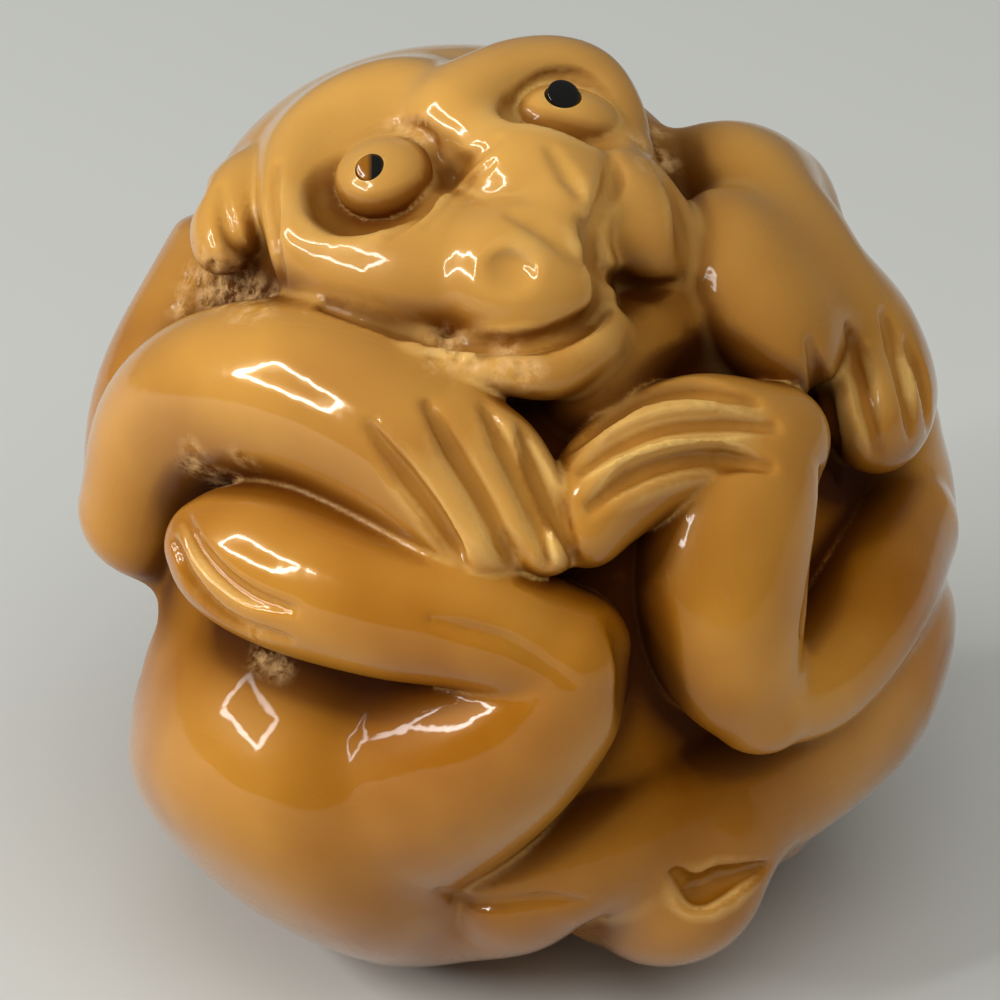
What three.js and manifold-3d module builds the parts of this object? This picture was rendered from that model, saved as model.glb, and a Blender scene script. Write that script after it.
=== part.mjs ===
// Curled-up monkey netsuke, carved from one tagua nut, with two inlaid pupils.
// Millimetres, +Z up. The carving is designed face on (x across, y back, z up, the nut's centre
// at zero) as a smooth distance field, turned into one closed surface, and then leaned back the
// way it rests on a table. The finished part's origin is the middle of its underside.
import * as THREE from "three";
import { mergeVertices } from "three/addons/utils/BufferGeometryUtils.js";
import Module from "manifold-3d";

// ---- driving dimensions ----
const NUT = new THREE.Vector3(19.9, 19.0, 21.0); // half sizes of the nut that holds the figure
const SKIN = 0.45; // how far a limb may swell past the nut
const SQUARE = 2.2; // 2 would be a plain ellipsoid
const VIEW = 220; // eye distance of the drawing the figure is laid out on
const LEAN = 30; // degrees that the face tips up when the netsuke rests on its back
const BASE = 19.35; // from the nut's centre down to the flat it rests on
const CELL = 0.52; // spacing of the field samples
const TRIANGLES = 8600; // facets left on the carving
const PUPIL_RIGHT = 0.6; // radius of the inlaid pupils
const PUPIL_LEFT = 0.72;
const PUPIL_LONG = 2.2; // length of the peg behind it
const PUPIL_PROUD = 0.12; // how far its domed end stands out
const INLAY_GAP = 0.16; // room round an inlay
const CORD_HOLE = 1.6; // radius of the two cord holes
const CORD_SPREAD = 10.5; // between the cord holes' middles
const CORD_DEEP = 5.0; // how far under the skin the cord channel runs
const CORD_HEIGHT = -12; // degrees below the middle of the back

// ---- the field: one sample per grid point, negative inside ----
const vec = (x, y, z) => new THREE.Vector3(x, y, z);
const corner = vec(-22.4, -21.4, -23.4);
const count = ["x", "y", "z"].map((a) => Math.ceil((-2 * corner[a]) / CELL) + 1);
const [NX, NY, NZ] = count;
const FAR = 9;
const field = new Float32Array(NX * NY * NZ).fill(FAR);
const at = (i, j, k) => (k * NY + j) * NX + i;

const smoothMin = (a, b, k) => {
  const t = Math.max(k - Math.abs(a - b), 0) / Math.max(k, 1e-6);
  return Math.min(a, b) - t * t * k * 0.25;
};
const smoothMax = (a, b, k) => -smoothMin(-a, -b, k);

// Runs a distance over the samples inside a box and joins it to the field, or cuts it out.
function blendIn(low, high, distance, k, cut) {
  const first = ["x", "y", "z"].map((a) => Math.max(0, Math.floor((low[a] - corner[a]) / CELL)));
  const last = ["x", "y", "z"].map((a, n) =>
    Math.min(count[n] - 1, Math.ceil((high[a] - corner[a]) / CELL)));
  for (let c = first[2]; c <= last[2]; c++) {
    const z = corner.z + c * CELL;
    for (let b = first[1]; b <= last[1]; b++) {
      const y = corner.y + b * CELL;
      for (let a = first[0]; a <= last[0]; a++) {
        const n = at(a, b, c);
        const d = distance(corner.x + a * CELL, y, z);
        field[n] = cut ? smoothMax(field[n], -d, k) : smoothMin(field[n], d, k);
      }
    }
  }
}

function ellipsoidDistance(x, y, z, rx, ry, rz) {
  const k0 = Math.hypot(x / rx, y / ry, z / rz);
  const k1 = Math.hypot(x / (rx * rx), y / (ry * ry), z / (rz * rz)) + 1e-9;
  return k0 < 0.3 ? -0.7 * Math.min(rx, ry, rz) : (k0 * (k0 - 1)) / k1;
}

// An ellipsoid of half sizes r at c, with its own axes.
function lump(c, r, k, axes = null, cut = false) {
  const [u, v, w] = axes ?? [vec(1, 0, 0), vec(0, 1, 0), vec(0, 0, 1)];
  const reach = new THREE.Vector3(
    Math.hypot(u.x * r[0], v.x * r[1], w.x * r[2]),
    Math.hypot(u.y * r[0], v.y * r[1], w.y * r[2]),
    Math.hypot(u.z * r[0], v.z * r[1], w.z * r[2]),
  ).addScalar(Math.max(2, k));
  const p = new THREE.Vector3();
  const distance = (x, y, z) => {
    p.set(x - c.x, y - c.y, z - c.z);
    return ellipsoidDistance(p.dot(u), p.dot(v), p.dot(w), ...r);
  };
  blendIn(c.clone().sub(reach), c.clone().add(reach), distance, k, cut);
}

// A smooth run through stations [x, y, z, radius].
function smoothRun(stations, steps = 5) {
  if (stations.length === 2) return stations;
  const n = stations.length;
  const beyond = (a, b) => a.map((v, i) => 2 * v - b[i]);
  const q = [beyond(stations[0], stations[1]), ...stations, beyond(stations[n - 1], stations[n - 2])];
  const run = [];
  for (let i = 1; i < n; i++) {
    for (let j = 0; j < steps; j++) {
      const t = j / steps;
      run.push(q[i].map((b, m) => {
        const [a, c, d] = [q[i - 1][m], q[i + 1][m], q[i + 2][m]];
        const [linear, square, cube] = [c - a, 2 * a - 5 * b + 4 * c - d, 3 * b - a - 3 * c + d];
        return b + 0.5 * (linear * t + square * t * t + cube * t ** 3);
      }));
    }
  }
  run.push(stations[n - 1]);
  return run;
}

// A round limb of changing thickness through stations [x, y, z, radius].
function tube(stations, k, cut = false, steps = 8) {
  const run = smoothRun(stations, steps);
  const margin = Math.max(1.5, k);
  const reach = Math.max(...run.map((s) => s[3])) + margin;
  const low = new THREE.Vector3(...[0, 1, 2].map((a) => Math.min(...run.map((s) => s[a])) - reach));
  const high = new THREE.Vector3(...[0, 1, 2].map((a) => Math.max(...run.map((s) => s[a])) + reach));
  const links = run.slice(1).map((b, i) => {
    const a = run[i];
    const d = [b[0] - a[0], b[1] - a[1], b[2] - a[2]];
    return { a, d, long: d[0] ** 2 + d[1] ** 2 + d[2] ** 2 + 1e-9, swell: b[3] - a[3] };
  });
  const distance = (x, y, z) => {
    let best = FAR;
    for (const { a, d, long, swell } of links) {
      const [ex, ey, ez] = [x - a[0], y - a[1], z - a[2]];
      const t = Math.min(1, Math.max(0, (ex * d[0] + ey * d[1] + ez * d[2]) / long));
      const away = Math.hypot(ex - t * d[0], ey - t * d[1], ez - t * d[2]) - a[3] - swell * t;
      if (away < best) best = away;
    }
    return best;
  };
  blendIn(low, high, distance, k, cut);
}

// The point, low mm under the nut's skin, that is seen at x across and z up in the front drawing.
function spot(x, z, low = 0) {
  const r = NUT.clone().subScalar(low);
  const eye = new THREE.Vector3(0, -VIEW, 0).divide(r);
  const ray = new THREE.Vector3(x, VIEW, z).divide(r);
  const a = ray.lengthSq();
  const b = eye.dot(ray);
  const t = (-b - Math.sqrt(Math.max(b * b - a * (eye.lengthSq() - 1), 0))) / a;
  return new THREE.Vector3(x * t, VIEW * (t - 1), z * t);
}

// The point low mm under the skin at a bearing round the nut (0 front, 90 right, 180 back).
function around(bearing, height, low = 0) {
  const [a, e] = [THREE.MathUtils.degToRad(bearing), THREE.MathUtils.degToRad(height)];
  const v = new THREE.Vector3(Math.sin(a) * Math.cos(e), -Math.cos(a) * Math.cos(e), Math.sin(e));
  const p = v.divideScalar(v.clone().divide(NUT).length());
  return p.sub(outward(p).multiplyScalar(low));
}

const outward = (p) => p.clone().divide(NUT).divide(NUT).normalize();

// A limb whose stations are [across, up, radius, how far its top lies under the skin].
const limb = (stations, k, cut = false) =>
  tube(stations.map(([x, z, r, low]) => [...spot(x, z, low + r).toArray(), r]), k, cut);

// The same round the back, with stations [bearing, height, radius, low].
const backLimb = (stations, k, cut = false) =>
  tube(stations.map(([b, h, r, low]) => [...around(b, h, low + r).toArray(), r]), k, cut);

// A flat lump lying in the skin, its middle seen at x, z: half width, height and thickness, how
// far its top lies under the skin, and its turn.
function pad(x, z, size, low, turn, k, cut = false) {
  const c = spot(x, z, low + size[2]);
  const n = outward(c);
  const side = new THREE.Vector3().crossVectors(new THREE.Vector3(0, 0, 1), n).normalize();
  const rise = new THREE.Vector3().crossVectors(n, side);
  if (side.x < 0) side.negate();
  if (rise.z < 0) rise.negate();
  const [co, si] = [Math.cos(THREE.MathUtils.degToRad(turn)), Math.sin(THREE.MathUtils.degToRad(turn))];
  const u = side.clone().multiplyScalar(co).addScaledVector(rise, si);
  const v = rise.clone().multiplyScalar(co).addScaledVector(side, -si);
  lump(c, size, k, [u, v, n], cut);
}

// The field's value anywhere, and where the carving itself is met in the front drawing.
function fieldAt(p) {
  const f = ["x", "y", "z"].map((a) => (p[a] - corner[a]) / CELL);
  const i = f.map((v, n) => Math.min(count[n] - 2, Math.max(0, Math.floor(v))));
  const w = f.map((v, n) => Math.min(1, Math.max(0, v - i[n])));
  let sum = 0;
  for (let m = 0; m < 8; m++) {
    const [a, b, c] = [m & 1, (m >> 1) & 1, m >> 2];
    const share = (a ? w[0] : 1 - w[0]) * (b ? w[1] : 1 - w[1]) * (c ? w[2] : 1 - w[2]);
    sum += share * field[at(i[0] + a, i[1] + b, i[2] + c)];
  }
  return sum;
}

const CLEAR = 24; // a ball of this radius holds the whole nut

// Steps along a line until the carving's surface is met.
function march(from, dir, reach) {
  const nearest = 0.05;
  const caution = 0.7; // the joined field runs a little ahead of the true distance
  for (let t = 0; t < reach;) {
    const p = from.clone().addScaledVector(dir, t);
    const away = fieldAt(p);
    if (away < nearest) return p.addScaledVector(dir, away);
    t += caution * away;
  }
  return null;
}

function met(x, z) {
  const dir = new THREE.Vector3(x, VIEW, z).normalize();
  const from = new THREE.Vector3(0, -VIEW, 0).addScaledVector(dir, VIEW - CLEAR);
  return march(from, dir, 2 * CLEAR) ?? spot(x, z, SKIN);
}

function metAround(bearing, height) {
  const out = around(bearing, height);
  const dir = outward(out).negate();
  return march(out.addScaledVector(dir, -2), dir, CLEAR) ?? around(bearing, height, SKIN);
}

// A gouged line of a width and a depth along the carving's own surface, thinner at its ends.
function gouge(line, place, wide, deep, k) {
  const steps = 4;
  const run = smoothRun(line, steps);
  const thinned = 0.4;
  const stations = run.map(([a, b], i) => {
    const toEnd = Math.min(i, run.length - 1 - i) / steps;
    const taper = Math.min(1, thinned + (1 - thinned) * toEnd);
    const p = place(a, b);
    const r = wide * 0.5 * taper;
    return [...p.clone().addScaledVector(outward(p), r - deep * taper).toArray(), r];
  });
  tube(stations, k, true, 1);
}
const groove = (line, wide, deep, k = 0.25) => gouge(line, met, wide, deep, k);
const backGroove = (line, wide, deep, k = 0.25) => gouge(line, metAround, wide, deep, k);

// ---- the figure, from the mass of the body out to the fingertips ----
function trunk() {
  lump(vec(0, 1.6, -1.0), [16.4, 16.4, 16.6], 0);
  lump(vec(-6.6, 3.0, 6.6), [10.0, 12.0, 9.6], 2.5); // right shoulder
  lump(vec(6.5, 5.0, 4.0), [11.0, 12.0, 11.0], 2.5); // left shoulder, on the far side
  lump(vec(0, 3.0, -8.5), [15.0, 13.0, 11.2], 2.0); // rump
  lump(vec(-7.4, -0.5, -11.2), [9.8, 12.0, 10.2], 1.2); // right haunch
  lump(vec(-8.6, 5.0, -9.6), [8.6, 11.0, 8.4], 0.8); // and its far side
}

function back() {
  // the spine, its bones, and the two shoulder blades
  backLimb([[180, 34, 2.6, 0.9], [180, 14, 2.8, 0.7], [180, -6, 2.8, 0.7], [180, -26, 2.4, 1.0]], 2.2);
  const vertebrae = [33, 25, 17, 9, 1, -7, -15, -23];
  for (const height of vertebrae) lump(around(180, height, 1.6), [1.9, 1.5, 1.25], 1.2);
  backLimb([[214, 28, 4.0, 0.4], [226, 10, 4.4, 0.3], [236, -4, 3.2, 0.8]], 1.6);
  backLimb([[146, 28, 4.0, 0.4], [134, 12, 4.4, 0.3], [126, -2, 3.2, 0.8]], 1.6);
}

function legs() {
  // left haunch and thigh, up the far side to its knee
  tube([[6.6, 8.0, -11.6, 7.6], [11.6, 5.4, -6.6, 6.8], [14.0, 1.6, -0.5, 5.6], [13.4, 0.4, 5.5, 4.9],
    [11.0, -2.5, 10.2, 3.9]], 0.6);
  // left flank under the elbow
  limb([[13.0, -6.6, 7.0, 0.3], [9.2, -11.0, 5.6, 0.2], [3.9, -15.0, 3.4, 0.6],
    [-0.4, -17.0, 2.4, 0.5]], 0.5);
  // under side of the right haunch, then the thigh to its knee, the shin and the foot
  limb([[-7.0, -16.8, 3.4, 0.2], [-3.4, -17.5, 3.2, 0.1], [0.0, -17.5, 2.9, 0.1],
    [1.8, -17.3, 1.8, 0.6]], 1.2);
  limb([[-9.0, -10.6, 6.6, 0.1], [-7.4, -11.8, 6.0, 0.0], [-4.6, -12.2, 5.4, 0.0], [-1.4, -11.0, 4.4, 0.0],
    [1.3, -9.0, 3.4, 0.0], [2.3, -7.1, 2.8, 0.0]], 0.6);
  limb([[2.2, -7.0, 2.8, 0.1], [-1.5, -5.5, 3.0, 0.0], [-5.6, -4.6, 3.3, 0.0], [-9.4, -3.3, 3.6, 0.0],
    [-12.0, -2.6, 3.1, 0.1], [-13.5, -2.1, 2.1, 0.4]], 0.2);
  // left shin coming down to the foot
  limb([[8.6, 14.3, 2.2, 1.6], [9.9, 13.2, 3.2, 0.7], [11.2, 11.2, 3.6, 0.2], [12.6, 9.0, 3.6, 0.1],
    [14.4, 6.6, 3.8, 0.0], [15.2, 5.0, 3.4, 0.2]], 0.5);
  limb([[9.6, 13.8, 2.6, 0.8], [11.5, 13.2, 2.8, 0.6]], 1.8); // its blunt knee
  pad(10.9, 9.2, [3.4, 5.0, 2.6], 0.3, 14, 1.6); // its flat inner side
  pad(16.2, 4.6, [4.6, 3.2, 2.4], -0.1, 24, 0.6);
}

function arms() {
  // right shoulder down the side to the elbow, and the forearm across to its hand
  tube([[-11.4, -0.5, 9.4, 4.6], [-14.2, -0.5, 4.2, 4.6], [-16.0, -1.0, -0.4, 3.3]], 1.2);
  limb([[-16.4, -0.4, 3.1, 0.3], [-14.9, 3.2, 3.7, 0.1], [-12.2, 4.7, 3.9, 0.1], [-8.2, 4.4, 4.1, 0.0],
    [-4.7, 2.7, 4.1, 0.0], [-2.6, 0.5, 3.3, 0.1], [-1.3, -1.3, 2.3, 0.2]], 0.5);
  // left shoulder round from the back, down to the elbow and up the forearm
  tube([[11.6, 8.4, 6.0, 4.8], [14.6, 5.0, 3.4, 4.2], [16.3, 2.0, 0.8, 3.4], [16.7, 0.0, -1.4, 3.2]], 0.6);
  limb([[16.7, -1.4, 3.2, 0.1], [15.6, -4.6, 3.0, 0.0], [13.5, -7.6, 2.7, 0.0],
    [11.2, -9.0, 2.2, 0.0]], 0.3);
  limb([[10.8, -9.1, 2.2, 0.0], [9.6, -6.9, 3.1, -0.2], [9.2, -3.7, 3.8, -0.2], [9.7, -0.5, 3.7, -0.2],
    [10.6, 1.9, 3.0, 0.0]], 0.5);
  limb([[6.0, 7.6, 2.6, 3.0], [3.4, 5.1, 2.4, 2.2]], 1.0); // chest in the gap under the chin
}

function hands() {
  limb([[11.6, 2.6, 2.4, 0.2], [8.3, 2.7, 2.7, 0.3], [5.9, 1.8, 2.6, 0.3], [4.0, 0.3, 2.4, 0.4],
    [3.2, -1.2, 1.8, 0.6]], 0.3);
  limb([[-2.4, 3.4, 1.6, 0.6], [-0.6, 2.0, 1.7, 0.4], [0.6, 0.0, 1.6, 0.3], [1.4, -2.0, 1.4, 0.4]], 0.4);
}

function head() {
  lump(vec(-2.5, -1.0, 10.8), [11.6, 11.0, 9.4], 1.4);
  pad(-4.4, 10.3, [6.2, 3.7, 3.4], 0.4, -6, 0.9); // right cheek
  pad(2.3, 12.9, [4.7, 4.2, 3.6], 0.3, -20, 0.8); // muzzle
  pad(0.4, 9.8, [4.0, 3.6, 3.4], -0.35, -4, 0.4); // right half of the lip
  pad(5.1, 12.1, [2.5, 3.3, 2.8], 0.4, 28, 0.9); // left half of the lip
  pad(0.9, 14.2, [3.2, 2.8, 2.4], -0.4, -25, 0.6); // nose
  pad(2.3, 12.6, [2.0, 2.4, 1.8], -0.3, -30, 0.6); // its tip
  // brows run round both sockets
  limb([[-1.6, 16.2, 1.0, 0.2], [-3.0, 17.4, 1.4, 0.1], [-5.1, 17.9, 1.5, 0.0], [-7.4, 17.0, 1.6, 0.0],
    [-9.2, 15.4, 1.6, 0.1], [-9.9, 13.4, 1.5, 0.2], [-9.6, 11.6, 1.2, 0.4]], 1.5);
  tube([[-2.4, -9.6, 16.4, 1.8], [-0.4, -8.4, 18.0, 1.8], [1.6, -7.6, 18.6, 1.7], [3.3, -7.4, 17.8, 1.6],
    [4.3, -8.0, 16.3, 1.4], [4.7, -8.8, 15.0, 1.1]], 1.4);
  pad(-6.5, 13.9, [2.9, 2.6, 1.3], -0.3, -20, 0.7, true); // sockets
  pad(2.3, 16.9, [2.8, 1.7, 0.9], -0.3, -16, 0.5, true);
  pad(-5.9, 14.4, [2.2, 2.05, 1.4], 0.12, -20, 0.25); // eyeballs
  pad(2.3, 17.0, [2.3, 1.6, 1.3], 0.05, -16, 0.25);
  // lower lip and chin
  limb([[-4.2, 6.5, 0.8, 1.2], [-0.8, 5.8, 1.0, 0.9], [1.7, 5.6, 1.1, 0.9], [3.5, 6.7, 1.0, 1.2],
    [4.3, 7.6, 0.8, 1.8]], 0.8);
  pad(0.8, 6.4, [3.6, 1.5, 2.4], 1.0, 4, 0.5);
  pad(-12.3, 12.9, [2.2, 3.7, 1.8], -0.1, 28, 0.4); // right ear
  pad(5.2, 15.6, [0.8, 1.2, 0.9], 1.2, 0, 0.3); // what shows of the left ear
}

// Nothing of the figure but the tail stands outside the nut, which is a little squarer than an egg.
function trimToNut() {
  const [rx, ry, rz] = NUT.clone().addScalar(SKIN).toArray();
  const power = (v) => Math.abs(v) ** SQUARE;
  const outside = (x, y, z) =>
    (1 - (power(x / rx) + power(y / ry) + power(z / rz)) ** (1 / SQUARE)) * rx;
  blendIn(corner, corner.clone().negate(), outside, 0.7, true);
}

function tail() {
  // from the foot of the spine round the left haunch to its tip, tucked under in front
  backLimb([[172, -36, 2.2, -3.0], [160, -40, 2.8, -3.9], [140, -44, 2.8, -4.3], [120, -47, 2.8, -4.0],
    [104, -50, 2.3, -3.0]], 0.8, true);
  backLimb([[180, -28, 1.4, 0.4], [172, -35, 1.9, -0.7], [160, -40, 2.1, -1.3], [140, -44, 2.1, -1.7],
    [118, -48, 2.1, -1.2], [96, -52, 2.0, 0.2], [70, -54, 1.8, 1.8]], 0.35);
  tube([[9.2, -6.4, -15.0, 2.2], [7.9, -5.8, -17.0, 2.8], [6.4, -4.0, -17.9, 2.7],
    [4.8, -0.5, -18.0, 2.2]], 1.6);
  // the hollow under the haunch
  groove([[7.3, -16.9], [8.3, -17.8], [9.3, -17.4], [11.2, -16.6]], 1.6, 1.0);
}

// The deepest gaps, cut before the hands are laid over them.
function gaps() {
  // between the chin and the left shin
  limb([[6.9, 14.6, 0.5, 0.2], [7.8, 12.2, 0.7, 0.3], [8.3, 9.6, 0.9, 0.5], [8.5, 7.2, 0.9, 1.2]],
    0.4, true);
  // between the right knee and the left forearm, and beside that forearm
  limb([[4.9, -3.0, 0.6, 0.2], [5.2, -6.2, 0.8, 0.4], [5.9, -9.2, 1.2, 0.3], [7.4, -12.2, 1.3, -0.6]],
    0.8, true);
  limb([[13.4, 2.0, 0.4, 0.6], [13.3, -0.6, 0.6, 0.8], [13.2, -3.2, 0.6, 0.6], [12.8, -5.6, 0.4, 0.4]],
    0.5, true);
}

function faceLines() {
  // the mouth and its far corner, the cleft between nose and left lip, the nose's lower edge, a
  // crease on its bridge, the cheek fold, and the lines in front of the ear and inside it
  groove([[3.0, 12.4], [3.5, 11.0], [3.9, 9.5], [3.4, 8.1], [1.9, 7.3], [-0.6, 6.9], [-4.9, 7.4],
    [-8.6, 8.6]], 1.0, 0.85, 0.4);
  groove([[3.9, 10.6], [4.6, 9.9], [5.8, 9.4], [7.0, 9.6]], 0.9, 0.6, 0.3);
  groove([[4.2, 15.6], [4.4, 14.3], [3.9, 12.9], [3.6, 11.6], [3.6, 10.4]], 0.9, 0.45, 0.4);
  groove([[-0.2, 12.8], [0.9, 12.3], [2.0, 11.5], [3.0, 10.6]], 0.9, 0.3, 0.5);
  groove([[1.6, 15.6], [2.4, 14.4], [2.9, 13.6]], 0.8, 0.3, 0.4);
  groove([[-5.6, 11.9], [-4.3, 13.0], [-2.5, 14.8], [-0.9, 16.0]], 0.9, 0.4, 0.4);
  groove([[-10.7, 15.0], [-10.9, 12.6], [-10.4, 9.6]], 0.9, 0.5);
  groove([[-13.2, 14.0], [-13.0, 12.6], [-12.4, 11.2], [-11.6, 10.4]], 0.9, 0.35);
  pad(-0.3, 10.1, [1.1, 1.0, 0.5], -0.55, 0, 0.4, true); // shallow dimple in the lip
}

function digits() {
  const rightFingers = [
    [[-6.6, 3.2], [-5.0, 1.1], [-3.8, -0.5], [-2.8, -2.1], [-2.3, -2.9]],
    [[-4.0, 4.2], [-2.8, 2.1], [-1.6, 0.1], [-0.6, -2.0], [-0.2, -2.9]],
    [[-1.4, 4.0], [-0.6, 2.4], [0.2, 0.7], [0.9, -0.8], [1.5, -2.8]],
    [[0.2, 3.0], [1.0, 1.2], [1.9, -0.8], [2.7, -2.9]],
  ];
  const leftFingers = [
    [[2.6, 2.3], [4.3, 3.7], [6.0, 4.6], [8.2, 4.9], [10.8, 4.3]],
    [[3.0, 1.2], [4.9, 2.6], [7.0, 3.3], [9.4, 3.4], [11.6, 3.2]],
    [[3.4, -0.4], [5.2, 1.0], [7.4, 1.7], [9.4, 1.8], [11.4, 1.4]],
  ];
  const leftToes = [
    [[13.3, 7.0], [13.8, 5.0], [14.2, 2.8], [14.5, 1.0]],
    [[15.0, 7.6], [15.6, 5.8], [16.0, 4.0], [16.3, 2.0]],
    [[16.6, 8.2], [17.2, 6.6], [17.6, 4.8], [17.8, 3.0]],
    [[17.7, 7.0], [18.2, 5.8], [18.5, 4.6], [18.6, 3.4]],
  ];
  const rightToes = [
    [[-14.8, -0.8], [-13.9, -2.7], [-12.1, -4.3], [-9.9, -5.0]],
    [[-15.2, -2.0], [-14.5, -3.8], [-12.7, -5.5], [-10.2, -6.3]],
  ];
  for (const line of rightFingers) groove(line, 0.95, 0.65, 0.35);
  for (const line of leftFingers) groove(line, 1.1, 0.8, 0.4);
  for (const line of leftToes) groove(line, 1.0, 0.65, 0.4);
  for (const line of rightToes) groove(line, 0.9, 0.5);
  groove([[-3.8, -5.5], [-2.0, -5.9], [0.0, -6.6], [2.6, -8.3]], 0.6, 0.25, 0.3); // along the right shin
}

function backLines() {
  // under the right haunch, the nape, between the buttocks, and over the right and left haunch
  groove([[-3.4, -17.6], [-1.6, -18.2], [1.4, -18.0], [3.0, -18.1]], 0.6, 0.3, 0.4);
  backGroove([[296, 40], [262, 44], [226, 42], [190, 40], [150, 42], [120, 48]], 1.8, 0.6, 0.9);
  backGroove([[182, -42], [186, -52], [196, -66]], 2.6, 0.7, 1.2);
  backGroove([[262, -4], [244, -8], [222, -13], [202, -24], [190, -36]], 1.5, 0.6, 0.8);
  backGroove([[96, 28], [108, 8], [122, -12], [142, -26], [164, -34]], 1.5, 0.6, 0.8);
}

// ---- the field's zero surface as one closed mesh ----
// Each cube of samples is split into six tetrahedra round its main diagonal, and the surface is
// cut through each of them, so neighbours always agree and no hole can open.
const SLIVER = 0.1; // a cut keeps this share of an edge clear of its ends
function surface() {
  const offsets = [[0, 0, 0], [1, 0, 0], [0, 1, 0], [1, 1, 0], [0, 0, 1], [1, 0, 1], [0, 1, 1], [1, 1, 1]];
  const tetrahedra = [[0, 5, 1, 7], [0, 1, 3, 7], [0, 3, 2, 7], [0, 2, 6, 7], [0, 6, 4, 7], [0, 4, 5, 7]];
  const points = [];
  const faces = [];
  const made = new Map();
  const vertex = (p, q) => {
    const [a, b] = p.n < q.n ? [p, q] : [q, p];
    const key = a.n * field.length + b.n;
    if (!made.has(key)) {
      const t = Math.min(1 - SLIVER, Math.max(SLIVER, a.d / (a.d - b.d)));
      made.set(key, points.length);
      points.push([0, 1, 2].map((m) => corner.getComponent(m) + CELL * (a.p[m] + (b.p[m] - a.p[m]) * t)));
    }
    return made.get(key);
  };
  const add = (a, b, c, inside) => {
    const [p, q, r] = [points[a], points[b], points[c]];
    const u = q.map((v, m) => v - p[m]);
    const w = r.map((v, m) => v - p[m]);
    const n = [u[1] * w[2] - u[2] * w[1], u[2] * w[0] - u[0] * w[2], u[0] * w[1] - u[1] * w[0]];
    const towards = inside.p.map((v, m) => corner.getComponent(m) + CELL * v - p[m]);
    const facing = n[0] * towards[0] + n[1] * towards[1] + n[2] * towards[2];
    faces.push(facing > 0 ? [a, c, b] : [a, b, c]);
  };
  for (let k = 0; k < NZ - 1; k++) {
    for (let j = 0; j < NY - 1; j++) {
      for (let i = 0; i < NX - 1; i++) {
        let below = 0;
        for (const [a, b, c] of offsets) if (field[at(i + a, j + b, k + c)] < 0) below++;
        if (below === 0 || below === 8) continue;
        const cube = offsets.map(([a, b, c]) => {
          const n = at(i + a, j + b, k + c);
          return { n, d: field[n], p: [i + a, j + b, k + c] };
        });
        for (const t of tetrahedra) {
          const s = t.map((m) => cube[m]);
          const inner = s.filter((v) => v.d < 0);
          const outer = s.filter((v) => v.d >= 0);
          if (inner.length === 1) {
            add(...outer.map((v) => vertex(inner[0], v)), inner[0]);
          } else if (inner.length === 3) {
            add(...inner.map((v) => vertex(v, outer[0])), inner[0]);
          } else if (inner.length === 2) {
            const [ac, ad, bc, bd] = inner.flatMap((v) => outer.map((w) => vertex(v, w)));
            add(ac, ad, bd, inner[0]);
            add(ac, bd, bc, inner[0]);
          }
        }
      }
    }
  }
  return { points, faces };
}

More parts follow.
